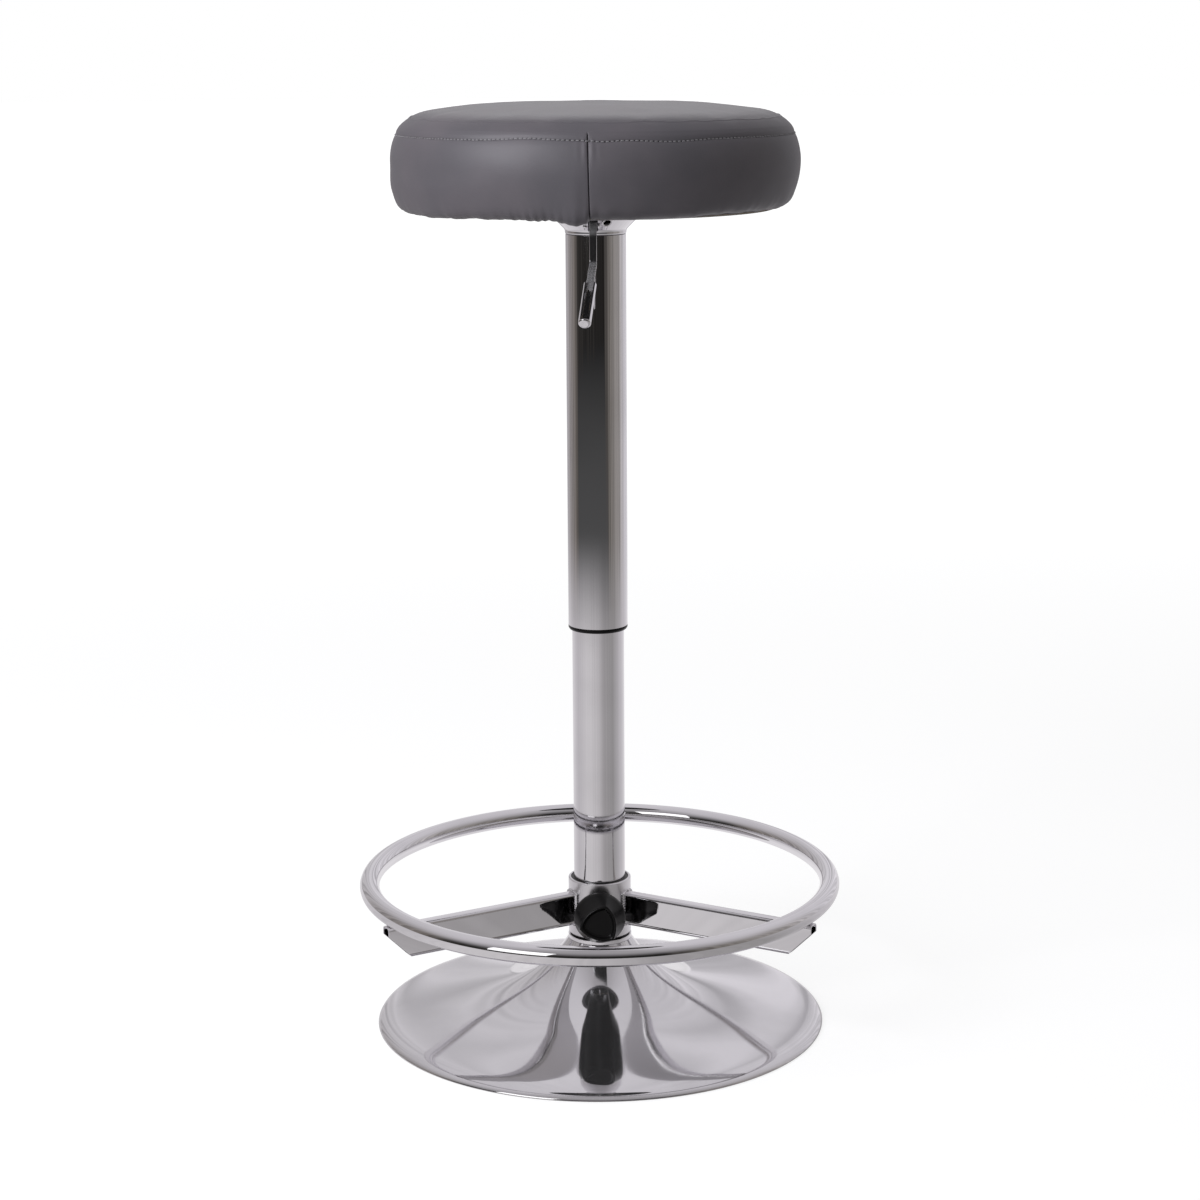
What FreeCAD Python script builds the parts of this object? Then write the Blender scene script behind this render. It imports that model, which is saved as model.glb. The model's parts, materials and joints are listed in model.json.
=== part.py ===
import FreeCAD, Part
import math
import os

# Round bar stool on a telescopic gas column, with a foot ring that clamps on the column.
# Millimetres. The origin is on the floor under the middle of the column, +Z is up and
# the release lever and the clamp knob point to -Y. The seat is shown at its highest.

# Clearances
running_gap = 0.05
seat_gap = 0.3
cut_over = 5.0

# Base shell: a spun trumpet of thin sheet on a floor ring
base_radius = 220.0
neck_radius = 31.0
neck_top = 84.0
rim_lift = 0.8
rim_top = 9.0
rim_roll = 15.0
shell_inset = 1.1
shell_drop = 1.3
inner_flare_shares = ((0.0, 1.0), (0.132, 0.52), (0.305, 0.32), (0.511, 0.2))
outer_flare_shares = ((0.511, 0.2), (0.718, 0.08), (0.914, 0.04), (1.0, 0.0))
rim_roll_shares = ((0.0, 1.0), (0.53, 0.8), (0.87, 0.63), (1.0, 0.15))

# Hub of the base: a tapered socket on a ballast disc
cap_height = 4.0
socket_taper = 0.7
ballast_radius = 150.0
ballast_thick = 8.0
ballast_lift = 5.0
ballast_bore = 18.0
floor_ring_width = 22.0
floor_ring_thick = 3.7
floor_ring_inset = 5.0

# Stand tube
column_radius = 25.0
column_wall = 2.2
column_bottom = 15.0
column_top = 520.0
foot_plate_thick = 3.0

# Guide bush in the top of the stand tube
bush_length = 80.0
bush_flange = 3.0
bush_flange_inset = 0.4

# Gas spring
pressure_radius = 14.0
pressure_wall = 1.5
pressure_bottom = 268.0
taper_length = 43.0
taper_inset = 1.07
end_block = 26.0
rod_radius = 5.0
rod_tip_radius = 4.0
rod_guide_length = 20.0
piston_length = 12.0
piston_rise = 26.0
release_radius = 2.5
release_length = 18.0
release_travel = 2.4

# Thrust bearing, clip and bumper at the foot of the rod
washer_radius = 12.0
washer_thick = 1.5
ball_radius = 2.0
ball_circle = 8.5
ball_count = 9
clip_radius = 7.0
clip_thick = 1.6
rod_end_rise = 8.0
bumper_radius = 13.0
bumper_height = 20.0
bumper_waist = 2.0

# Telescopic cover tube with its plastic end ring
cover_radius = 28.5
cover_wall = 1.2
cover_bottom = 399.5
cover_length = 373.5
cover_ring_height = 4.0
cover_ring_sleeve = 16.0
cover_ring_gap = 0.4

# Bell under the seat, cast in one with its spigot
bell_lip_height = 4.0
bell_lip_step = 0.4
bell_height = 21.5
bell_spigot = 8.0
bell_wall = 2.0
bell_flare = 45.0
bell_hole_radius = 3.4
bell_hole_offset = 10.5
bell_rim_radius = 5.2
bell_rim_height = 1.2
lever_slot = 9.0

# Hub that holds the top taper of the gas spring
hub_radius = 20.0
hub_chamber_radius = 15.0
hub_chamber_height = 16.5
hub_slot_gap = 0.6
lever_height_share = 0.42

# Seat plate, board and fixings
plate_side = 150.0
plate_thick = 2.5
plate_corner = 14.0
board_inset = 22.5
board_thick = 12.0
bolt_spacing = 110.0
bolt_radius = 4.0
bolt_head_height = 2.5
bolt_head_radius = 7.5
bolt_socket_across = 5.0
bolt_socket_depth = 1.6
bolt_stop = 2.0
washer_outer = 8.0
fixing_washer_thick = 1.0
nut_flange_radius = 9.0
nut_flange_thick = 1.2
nut_barrel_radius = 5.0
nut_barrel_stop = 1.5

# Cushion
cushion_radius = 190.5
seam_inset = 9.0
seam_rise = 75.7
crown_rise = 22.3
cover_skin = 1.2
underside_drop = 0.6
corner_width = 20.5
corner_height = 11.5
bulge_share = 0.52
crown_shares = ((0.25, 0.99), (0.495, 0.964), (0.66, 0.872), (0.826, 0.7), (0.934, 0.445), (1.0, 0.0))
upper_side_share = 0.24
lower_side_share = 0.09
side_foot_share = 0.333
corner_across_share = 0.56
corner_up_share = 0.29
hem_inset = 35.5
hem_width = 15.0
cloth_margin = 3.0
cloth_thick = 0.6
cloth_gap = 2.0

# Release lever
lever_width = 6.0
lever_offset = 2.4
lever_thick = 5.0
lever_inner_end = 6.0
lever_pivot_offset = 13.0
lever_pin_radius = 2.5
lever_eye_radius = 5.0
lever_reach = 44.0
lever_drop = 36.0
lever_drop_reach = 10.0
lever_tilt = 38.0
lever_turn = 7.5
lever_shank = 39.0
grip_radius = 5.9
grip_length = 52.0
grip_overlap = 12.0
grip_edge = 1.2

# Foot ring
ring_radius = 225.5
ring_tube_radius = 9.5
ring_tube_wall = 1.5
ring_centre = 142.8
arm_height = 33.0
arm_width = 13.0
arm_wall = 1.5
arm_corner = 3.0
arm_saddle = 1.0
arm_end = 7.1
arm_end_lip = 8.5
arm_names = ("back", "left", "right")
first_arm_turn = 90.0

# Collar, liner and clamp of the foot ring
liner_wall = 3.0
liner_flange = 1.5
liner_flange_width = 4.2
liner_slit = 3.0
collar_wall = 2.4
collar_height = 56.0
collar_edge = 0.8
liner_recess = 0.6
clamp_height = 116.8
boss_radius = 8.5
boss_length = 2.0
stud_radius = 4.0
stud_in_knob = 18.0

# Knob: round at the back, a dished triangle at the front
knob_radius = 25.0
knob_hub_radius = 13.0
knob_back_radius = 21.0
knob_back_depth = 3.5
knob_band = 5.0
knob_flank = 20.0
knob_face_radius = 19.0
knob_face_flat_share = 0.78
knob_hub_length = 4.0
knob_rim = 2.4
knob_dish = 1.8
knob_turn = 70.0
knob_lobes = 3

# Heights and radii that follow from the sizes above
origin = FreeCAD.Vector(0, 0, 0)
axis_x = FreeCAD.Vector(1, 0, 0)
axis_y = FreeCAD.Vector(0, 1, 0)
axis_z = FreeCAD.Vector(0, 0, 1)
socket_radius = neck_radius - shell_inset
socket_top = neck_top + cap_height
ballast_top = ballast_lift + ballast_thick
column_bore = column_radius - column_wall
foot_plate_top = column_bottom + foot_plate_thick
bearing_top = foot_plate_top + 2 * washer_thick + 2 * ball_radius
cover_top = cover_bottom + cover_length
cover_bore = cover_radius - cover_wall
bell_lip_radius = cover_radius + bell_lip_step
bell_top = cover_top + bell_height
bell_lip_top = cover_top + bell_lip_height
bell_slope = math.tan(math.radians(bell_flare))
bell_top_radius = bell_lip_radius + (bell_top - bell_lip_top) * bell_slope
chamber_floor = bell_top - hub_chamber_height
pressure_top = chamber_floor
pressure_bore = pressure_radius - pressure_wall
taper_bottom = pressure_top - taper_length
board_bottom = bell_top + plate_thick
board_top = board_bottom + board_thick
board_radius = cushion_radius - board_inset
hem_outer = cushion_radius - hem_inset
hem_inner = hem_outer - hem_width
cloth_radius = hem_outer - cloth_margin
lever_axis_z = chamber_floor + hub_chamber_height * lever_height_share
liner_bore = column_radius + running_gap
liner_radius = liner_bore + liner_wall
liner_bottom = socket_top + seat_gap
collar_bottom = liner_bottom + liner_flange + seat_gap / 2
collar_bore = liner_radius + running_gap
collar_radius = collar_bore + collar_wall
collar_top = collar_bottom + collar_height
boss_end = collar_radius + boss_length
knob_start = boss_end + 2 * seat_gap
arm_top = ring_centre - ring_tube_radius + arm_saddle


def point(radius, height):
    return FreeCAD.Vector(radius, 0, height)


def polygon(corners):
    wire = Part.makePolygon([point(r, z) for r, z in corners] + [point(*corners[0])])
    return Part.Face(wire)


def lathe(face):
    return face.revolve(origin, axis_z, 360)


def turned(corners):
    return lathe(polygon(corners))


def disc(radius, low, high):
    return Part.makeCylinder(radius, high - low, point(0, low))


def tube(outer, inner, low, high):
    return disc(outer, low, high).cut(disc(inner, low - cut_over, high + cut_over))


def rod_between(radius, start, end):
    step = end.sub(start)
    return Part.makeCylinder(radius, step.Length, start, step)


def box(x_low, x_high, y_low, y_high, z_low, z_high):
    corner = FreeCAD.Vector(x_low, y_low, z_low)
    return Part.makeBox(x_high - x_low, y_high - y_low, z_high - z_low, corner)


def cone_between(low_radius, low, high_radius, high):
    return Part.makeCone(low_radius, high_radius, high - low, point(0, low))


def turn_about_z(shape, degrees):
    copy = shape.copy()
    copy.rotate(origin, axis_z, degrees)
    return copy


def bezier(poles):
    curve = Part.BezierCurve()
    curve.setPoles(poles)
    return curve.toShape()


def arc(start, middle, end):
    return Part.Arc(point(*start), point(*middle), point(*end)).toShape()


def line(start, end):
    return Part.makeLine(point(*start), point(*end))


# Base

def shell_poles(shift_in, shift_down):
    # Poles of the three curves from the neck to the rim, as radius and height.
    width = base_radius - rim_roll - neck_radius
    height = neck_top - rim_top
    flares = []
    for shares in (inner_flare_shares, outer_flare_shares):
        flares.append([(neck_radius + width * across, rim_top + height * up) for across, up in shares])
    roll = [(base_radius - rim_roll * (1 - across), rim_top * up) for across, up in rim_roll_shares]
    shifted = []
    for curve in (*flares, roll):
        shifted.append([point(radius - shift_in, z - shift_down) for radius, z in curve])
    return shifted


def base_shell():
    outer = shell_poles(0, 0)
    inner = shell_poles(shell_inset, shell_drop)
    edges = [bezier(poles) for poles in outer]
    outer_end = outer[-1][-1]
    inner_end = inner[-1][-1]
    inner_start = inner[0][0]
    edges.append(Part.makeLine(outer_end, point(outer_end.x, -cut_over)))
    edges.append(Part.makeLine(point(outer_end.x, -cut_over), point(inner_end.x, -cut_over)))
    edges.append(Part.makeLine(point(inner_end.x, -cut_over), inner_end))
    edges.extend(bezier(poles) for poles in inner)
    edges.append(Part.makeLine(inner_start, point(inner_start.x, neck_top)))
    edges.append(Part.makeLine(point(inner_start.x, neck_top), outer[0][0]))
    wire = Part.Wire(Part.__sortEdges__(edges))
    shell = lathe(Part.Face(wire))
    return shell.cut(disc(base_radius + cut_over, -2 * cut_over, rim_lift))


def socket_bore():
    taper = cone_between(column_radius - socket_taper, column_bottom, column_radius, neck_top)
    mouth = disc(column_radius, neck_top, socket_top + cut_over)
    foot = disc(column_radius - socket_taper, ballast_top - cut_over, column_bottom)
    return taper.fuse([mouth, foot])


def base_socket():
    outer = disc(socket_radius, ballast_top, neck_top).fuse(disc(neck_radius, neck_top, socket_top))
    return outer.cut(socket_bore()).removeSplitter()


def ballast_plate():
    return tube(ballast_radius, ballast_bore, ballast_lift, ballast_top)


def floor_ring():
    outer = base_radius - floor_ring_inset
    return tube(outer, outer - floor_ring_width, 0, floor_ring_thick)


# Column

def stand_tube():
    taper = cone_between(column_radius - socket_taper, column_bottom, column_radius, neck_top)
    outer = taper.fuse(disc(column_radius, neck_top, column_top))
    return outer.cut(disc(column_bore, column_bottom - cut_over, column_top + cut_over)).removeSplitter()


def column_foot():
    return tube(column_bore, rod_radius, column_bottom, foot_plate_top)


def guide_bush():
    sleeve = disc(column_bore, column_top - bush_length, column_top)
    flange = disc(column_radius - bush_flange_inset, column_top, column_top + bush_flange)
    bore_bottom = column_top - bush_length - cut_over
    bore = disc(pressure_radius + running_gap, bore_bottom, column_top + 2 * cut_over)
    return sleeve.fuse(flange).cut(bore).removeSplitter()


# Gas spring

def pressure_tube():
    outer = disc(pressure_radius, pressure_bottom, taper_bottom)
    taper = cone_between(pressure_radius, taper_bottom, pressure_radius - taper_inset, pressure_top)
    bore = disc(pressure_bore, pressure_bottom - cut_over, pressure_top - end_block)
    bore_bottom = pressure_top - end_block - cut_over
    pin_bore = disc(release_radius + running_gap, bore_bottom, pressure_top + cut_over)
    return outer.fuse(taper).cut(bore.fuse(pin_bore)).removeSplitter()


def rod_guide():
    top = pressure_bottom + rod_guide_length
    return tube(pressure_bore, rod_radius + running_gap, pressure_bottom, top)


def piston_low():
    return pressure_bottom + piston_rise


def piston():
    return tube(pressure_bore - running_gap, rod_radius, piston_low(), piston_low() + piston_length)


def piston_rod():
    shaft = disc(rod_radius, bearing_top, piston_low() + piston_length)
    tip = disc(rod_tip_radius, rod_end_rise, bearing_top)
    return shaft.fuse(tip).removeSplitter()


def lever_underside():
    return lever_axis_z - lever_thick / 2


def release_pin():
    top = lever_underside() - seat_gap
    stem = disc(release_radius, pressure_top - release_length, top - release_radius)
    dome = Part.makeSphere(release_radius, point(0, top - release_radius))
    return stem.fuse(dome).removeSplitter()


def thrust_washer_lower():
    return tube(washer_radius, rod_radius, foot_plate_top, foot_plate_top + washer_thick)


def thrust_washer_upper():
    return tube(washer_radius, rod_tip_radius, bearing_top - washer_thick, bearing_top)


def thrust_balls():
    centre_z = foot_plate_top + washer_thick + ball_radius
    balls = []
    for index in range(ball_count):
        turn = 2 * math.pi * index / ball_count
        centre = FreeCAD.Vector(ball_circle * math.cos(turn), ball_circle * math.sin(turn), centre_z)
        balls.append(Part.makeSphere(ball_radius - running_gap, centre))
    return Part.makeCompound(balls)


def rod_clip():
    top = column_bottom - seat_gap
    ring = tube(clip_radius, rod_tip_radius, top - clip_thick, top)
    gap = box(0, clip_radius + cut_over, -rod_tip_radius / 2, rod_tip_radius / 2, 0, column_bottom)
    return ring.cut(gap)


def rod_bumper():
    low = bearing_top
    high = low + bumper_height
    outer = turned((
        (rod_radius, low),
        (bumper_radius, low),
        (bumper_radius - bumper_waist, (low + high) / 2),
        (bumper_radius, high),
        (rod_radius, high),
    ))
    return outer


# Cover tube

def cover_tube():
    return tube(cover_radius, cover_bore, cover_bottom, cover_top)


def cover_ring():
    bore = column_radius + cover_ring_gap
    slope = cover_radius - bore
    low = cover_bottom - cover_ring_height
    return turned((
        (bore, low),
        (cover_radius, low + slope),
        (cover_radius, cover_bottom),
        (cover_bore, cover_bottom),
        (cover_bore, cover_bottom + cover_ring_sleeve),
        (bore, cover_bottom + cover_ring_sleeve),
    ))


# Bell and hub

def bell_blank():
    inner = cover_bore - bell_wall
    top_inner = bell_top_radius - bell_wall / math.cos(math.radians(bell_flare))
    return turned((
        (inner, cover_top - bell_spigot),
        (cover_bore, cover_top - bell_spigot),
        (cover_bore, cover_top),
        (bell_lip_radius, cover_top),
        (bell_lip_radius, bell_lip_top),
        (bell_top_radius, bell_top),
        (top_inner, bell_top),
        (inner, bell_top - (top_inner - inner) / bell_slope),
    ))


def bell():
    shape = bell_blank()
    middle_z = (bell_lip_top + bell_top) / 2
    middle_r = (bell_lip_radius + bell_top_radius) / 2
    across = bell_hole_offset
    depth = math.sqrt(middle_r ** 2 - across ** 2)
    centre = FreeCAD.Vector(across, -depth, middle_z)
    outward = FreeCAD.Vector(across, -depth, -middle_r * bell_slope)
    outward.normalize()
    inside = centre.sub(outward * (3 * bell_wall))
    rim = rod_between(bell_rim_radius, centre.sub(outward * bell_wall), centre + outward * bell_rim_height)
    keep_out = rod_between(bell_hole_radius, inside, centre + outward * (3 * bell_rim_height))
    slot = slot_blank(lever_slot, bell_top_radius, bell_lip_top)
    return shape.fuse(rim).cut(keep_out).cut(slot).removeSplitter()


def lift_hub():
    body = disc(hub_radius, taper_bottom, bell_top)
    taper = cone_between(pressure_radius, taper_bottom, pressure_radius - taper_inset, pressure_top)
    chamber = disc(hub_chamber_radius, chamber_floor, bell_top + cut_over)
    slot = slot_blank(lever_width + 2 * hub_slot_gap, hub_radius, chamber_floor)
    pin_hole = lever_pin_blank(hub_radius + cut_over)
    return body.cut(taper).cut(chamber).cut(slot).cut(pin_hole).removeSplitter()


def slot_blank(width, reach, floor):
    # The upright slot that the lever passes through.
    left = -lever_offset - width / 2
    return box(left, left + width, -reach - cut_over, 0, floor, bell_top + cut_over)


def lever_pin_blank(half_length):
    start = FreeCAD.Vector(-half_length, -lever_pivot_offset, lever_axis_z)
    end = FreeCAD.Vector(half_length, -lever_pivot_offset, lever_axis_z)
    return rod_between(lever_pin_radius, start, end)


def lever_pivot():
    reach = math.sqrt(hub_radius ** 2 - (lever_pivot_offset + lever_pin_radius) ** 2)
    return lever_pin_blank(reach)


# Release lever

def bar_segment(start, direction, length, width, thick):
    side = direction.cross(axis_z)
    side.normalize()
    up = side.cross(direction)
    block = Part.makeBox(length, width, thick, FreeCAD.Vector(0, -width / 2, -thick / 2))
    turn = FreeCAD.Rotation(direction, side.negative(), up, "XYZ")
    block.Placement = FreeCAD.Placement(start, turn)
    return block


def bend_round(centre, side):
    half = side * (lever_width / 2)
    return rod_between(lever_thick / 2, centre.sub(half), centre + half)


def lever_points():
    inner = FreeCAD.Vector(-lever_offset, lever_inner_end, lever_axis_z)
    knee = FreeCAD.Vector(-lever_offset, -lever_reach, lever_axis_z)
    elbow = knee - FreeCAD.Vector(0, lever_drop_reach, lever_drop)
    return inner, knee, elbow


def grip_direction():
    tilt = math.radians(lever_tilt)
    turn = math.radians(lever_turn)
    flat = math.cos(tilt)
    return FreeCAD.Vector(-flat * math.sin(turn), -flat * math.cos(turn), -math.sin(tilt))


def lever_bar():
    inner, knee, elbow = lever_points()
    pieces = []
    for start, end in ((inner, knee), (knee, elbow)):
        step = end.sub(start)
        length = step.Length
        step.normalize()
        pieces.append(bar_segment(start, step, length, lever_width, lever_thick))
    direction = grip_direction()
    pieces.append(bar_segment(elbow, direction, lever_shank, lever_width, lever_thick))
    pieces.append(bend_round(knee, axis_x))
    side = direction.cross(axis_z)
    side.normalize()
    pieces.append(bend_round(elbow, side))
    pivot = FreeCAD.Vector(-lever_offset, -lever_pivot_offset, lever_axis_z)
    half = axis_x * (lever_width / 2)
    pieces.append(rod_between(lever_eye_radius, pivot.sub(half), pivot + half))
    bar = pieces[0].fuse(pieces[1:])
    hole = rod_between(lever_pin_radius + running_gap, pivot.sub(half * 2), pivot + half * 2)
    return bar.cut(hole).cut(grip_core()).removeSplitter()


def grip_start():
    return lever_points()[2] + grip_direction() * (lever_shank - grip_overlap)


def grip_core():
    # The part of the grip below the notch, where the bar ends.
    direction = grip_direction()
    start = grip_start() + direction * grip_overlap
    return rod_between(grip_radius, start, start + direction * (lever_width + cut_over))


def lever_grip():
    direction = grip_direction()
    start = grip_start()
    edge = start + direction * (grip_length - grip_edge)
    tip = Part.makeCone(grip_radius, grip_radius - grip_edge, grip_edge, edge, direction)
    grip = rod_between(grip_radius, start, edge).fuse(tip)
    above = start.sub(direction * cut_over)
    slot = bar_segment(above, direction, grip_overlap + cut_over, lever_width, 4 * grip_radius)
    return grip.cut(slot).removeSplitter()


# Foot ring

def ring_tube():
    outer = Part.makeTorus(ring_radius, ring_tube_radius, point(0, ring_centre))
    inner = Part.makeTorus(ring_radius, ring_tube_radius - ring_tube_wall, point(0, ring_centre))
    return outer.cut(inner)


def arm_bar(inset, reach):
    # An upright bar along X with round corners.
    half = arm_width / 2 - inset
    bar = box(0, reach, -half, half, arm_top - arm_height + inset, arm_top - inset)
    along = [edge for edge in bar.Edges if abs(edge.tangentAt(edge.FirstParameter).x) > 0.9]
    return bar.makeFillet(arm_corner - inset, along)


def foot_arm(azimuth):
    reach = ring_radius + arm_end
    arm = arm_bar(0, reach).cut(arm_bar(arm_wall, reach + cut_over))
    arm = arm.cut(disc(collar_radius, 0, arm_top + cut_over))
    arm = arm.cut(Part.makeTorus(ring_radius, ring_tube_radius, point(0, ring_centre)))
    drop = arm_height - arm_end_lip
    slant = Part.makePolygon([
        FreeCAD.Vector(reach + cut_over, -arm_width, arm_top - arm_end_lip + cut_over),
        FreeCAD.Vector(reach + cut_over, -arm_width, arm_top - arm_height - cut_over),
        FreeCAD.Vector(reach - drop - cut_over, -arm_width, arm_top - arm_height - cut_over),
        FreeCAD.Vector(reach + cut_over, -arm_width, arm_top - arm_end_lip + cut_over),
    ])
    wedge = Part.Face(slant).extrude(axis_y * (2 * arm_width))
    return turn_about_z(arm.cut(wedge), azimuth)


def foot_liner():
    sleeve = tube(liner_radius, liner_bore, liner_bottom, collar_top - liner_recess)
    flange = tube(liner_bore + liner_flange_width, liner_bore, liner_bottom, liner_bottom + liner_flange)
    half = liner_slit / 2
    slit = box(-half, half, 0, collar_radius + cut_over, liner_bottom - cut_over, collar_top + cut_over)
    return sleeve.fuse(flange).cut(slit).removeSplitter()


def clamp_axis(from_y, to_y, radius):
    start = FreeCAD.Vector(0, from_y, clamp_height)
    return rod_between(radius, start, FreeCAD.Vector(0, to_y, clamp_height))


def foot_collar():
    blank = turned((
        (collar_bore, collar_bottom),
        (collar_radius - collar_edge, collar_bottom),
        (collar_radius, collar_bottom + collar_edge),
        (collar_radius, collar_top - collar_edge),
        (collar_radius - collar_edge, collar_top),
        (collar_bore, collar_top),
    ))
    return blank.cut(clamp_axis(0, -collar_radius - cut_over, stud_radius + running_gap))


def clamp_boss():
    boss = clamp_axis(-collar_bore, -boss_end, boss_radius)
    boss = boss.cut(disc(collar_radius, 0, collar_top + cut_over))
    return boss.cut(clamp_axis(0, -boss_end - cut_over, stud_radius + running_gap))


def clamp_stud():
    return clamp_axis(-liner_radius - seat_gap, -knob_start - stud_in_knob, stud_radius)


def lobe_wire(radius, side_radius, depth):
    # One arc for each lobe, from corner to corner through the middle of its side.
    lobe = 360 / knob_lobes
    edges = []
    for index in range(knob_lobes):
        corners = []
        for step, reach in ((0, radius), (lobe / 2, side_radius), (lobe, radius)):
            angle = math.radians(knob_turn + lobe * index + step)
            across = reach * math.cos(angle)
            up = reach * math.sin(angle)
            corners.append(FreeCAD.Vector(across, -depth, clamp_height + up))
        edges.append(Part.Arc(*corners).toShape())
    return Part.Wire(edges)


def round_wire(radius, depth):
    return lobe_wire(radius, radius, depth)


def clamp_knob():
    band_start = knob_start + knob_hub_length + knob_back_depth
    flank_start = band_start + knob_band
    face = flank_start + knob_flank
    side = knob_face_radius * knob_face_flat_share
    hub = clamp_axis(-knob_start, -knob_start - knob_hub_length - knob_back_depth, knob_hub_radius)
    back = Part.makeLoft([
        round_wire(knob_back_radius, knob_start + knob_hub_length),
        round_wire(knob_radius, band_start),
    ], True, True)
    band = clamp_axis(-band_start, -flank_start, knob_radius)
    flank = Part.makeLoft([
        round_wire(knob_radius, flank_start),
        lobe_wire(knob_face_radius, side, face),
    ], True, True)
    dish = Part.makeLoft([
        lobe_wire(knob_face_radius - 3 * knob_rim, side - 2 * knob_rim, face - knob_dish),
        lobe_wire(knob_face_radius - knob_rim, side - knob_rim, face + knob_dish),
    ], True, True)
    knob = band.fuse([hub, back, flank]).cut(dish)
    return knob.cut(clamp_axis(0, -knob_start - stud_in_knob, stud_radius)).removeSplitter()


# Seat plate, board and fixings

def bolt_places():
    half = bolt_spacing / 2
    return [(x, y) for x in (-half, half) for y in (-half, half)]


def at_bolts(shape):
    copies = []
    for x, y in bolt_places():
        copy = shape.copy()
        copy.translate(FreeCAD.Vector(x, y, 0))
        copies.append(copy)
    return copies


def seat_plate():
    half = plate_side / 2
    plate = box(-half, half, -half, half, bell_top, board_bottom)
    upright = [edge for edge in plate.Edges if abs(edge.tangentAt(edge.FirstParameter).z) > 0.9]
    plate = plate.makeFillet(plate_corner, upright)
    holes = at_bolts(disc(bolt_radius + seat_gap, bell_top - cut_over, board_bottom + cut_over))
    return plate.cut(holes)


def hexagon(across, low, high):
    reach = across / math.sqrt(3)
    corners = []
    for index in range(7):
        turn = math.radians(60 * index)
        corners.append(FreeCAD.Vector(reach * math.cos(turn), reach * math.sin(turn), low))
    return Part.Face(Part.makePolygon(corners)).extrude(axis_z * (high - low))


def seat_bolts():
    head_top = bell_top - fixing_washer_thick
    head_low = head_top - bolt_head_height
    head = disc(bolt_head_radius, head_low, head_top)
    shank = disc(bolt_radius - running_gap, head_top, board_top - bolt_stop)
    socket = hexagon(bolt_socket_across, head_low - cut_over, head_low + bolt_socket_depth)
    return Part.makeCompound(at_bolts(head.fuse(shank).removeSplitter().cut(socket)))


def seat_washers():
    washer = tube(washer_outer, bolt_radius + seat_gap, bell_top - fixing_washer_thick, bell_top)
    return Part.makeCompound(at_bolts(washer))


def tee_nuts():
    barrel = disc(nut_barrel_radius, board_bottom + nut_barrel_stop, board_top)
    flange = disc(nut_flange_radius, board_top - nut_flange_thick, board_top)
    bore = disc(bolt_radius, board_bottom, board_top + cut_over)
    return Part.makeCompound(at_bolts(barrel.fuse(flange).cut(bore).removeSplitter()))


def seat_board():
    board = disc(board_radius, board_bottom, board_top)
    through = disc(nut_barrel_radius, board_bottom - cut_over, board_top + cut_over)
    recess = disc(nut_flange_radius, board_top - nut_flange_thick, board_top + cut_over)
    return board.cut(at_bolts(through.fuse(recess)))


def dust_cloth():
    high = board_bottom - cover_skin
    half = plate_side / 2 + cloth_gap
    window = box(-half, half, -half, half, high - cut_over, board_bottom)
    return disc(cloth_radius, high - cloth_thick, high).cut(window)


# Cushion

def cushion_outline():
    seam_radius = cushion_radius - seam_inset
    seam_z = board_bottom + seam_rise
    top_z = seam_z + crown_rise
    hem_z = board_bottom - cover_skin
    low_z = hem_z - underside_drop
    low_radius = cushion_radius - corner_width
    side_radius = cushion_radius - corner_width * side_foot_share
    side_z = low_z + corner_height
    bulge_z = side_z + (seam_z - side_z) * bulge_share
    crown = [(seam_radius * across, seam_z + crown_rise * up) for across, up in crown_shares]
    upper = (cushion_radius - seam_inset * upper_side_share, (bulge_z + seam_z) / 2)
    lower = (cushion_radius - corner_width * lower_side_share, (bulge_z + side_z) / 2)
    corner = (cushion_radius - corner_width * corner_across_share, low_z + corner_height * corner_up_share)
    bulge = (cushion_radius, bulge_z)
    side = (side_radius, side_z)
    bottom = (low_radius, low_z)
    return [
        arc((0, top_z), crown[0], crown[1]),
        arc(crown[1], crown[2], crown[3]),
        arc(crown[3], crown[4], crown[5]),
        arc(crown[5], upper, bulge),
        arc(bulge, lower, side),
        arc(side, corner, bottom),
        line(bottom, (hem_outer, hem_z)),
        line((hem_outer, hem_z), (0, hem_z)),
    ]


def mirrored(edge):
    return edge.mirror(origin, axis_x)


def cushion_body(inset):
    edges = cushion_outline()
    wire = Part.Wire(Part.__sortEdges__(edges + [mirrored(edge) for edge in edges]))
    face = Part.Face(wire)
    if inset > 0:
        face = face.makeOffset2D(-inset, 0, False, False, False)
    reach = cushion_radius + cut_over
    high = board_bottom + seam_rise + crown_rise
    half = polygon(((0, 0), (reach, 0), (reach, high + cut_over), (0, high + cut_over)))
    return lathe(face.common(half).Faces[0])


def cushion_cover():
    shell = cushion_body(0).cut(cushion_body(cover_skin))
    return shell.cut(disc(hem_inner, 0, board_bottom + cover_skin))


def seam_height():
    return board_bottom + seam_rise


def seat_top_panel():
    return cushion_cover().cut(disc(2 * cushion_radius, 0, seam_height()))


def seat_side_band():
    ceiling = seam_height() + 2 * crown_rise
    return cushion_cover().cut(disc(2 * cushion_radius, seam_height(), ceiling))


def seat_foam():
    foam = cushion_body(cover_skin + seat_gap)
    return foam.cut(disc(board_radius + seat_gap, 0, board_top + seat_gap))


def write(name, shape):
    shape.exportStep(f"parts/{name}.step")
    print(name, len(shape.Solids), round(shape.Volume), shape.isValid())


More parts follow.
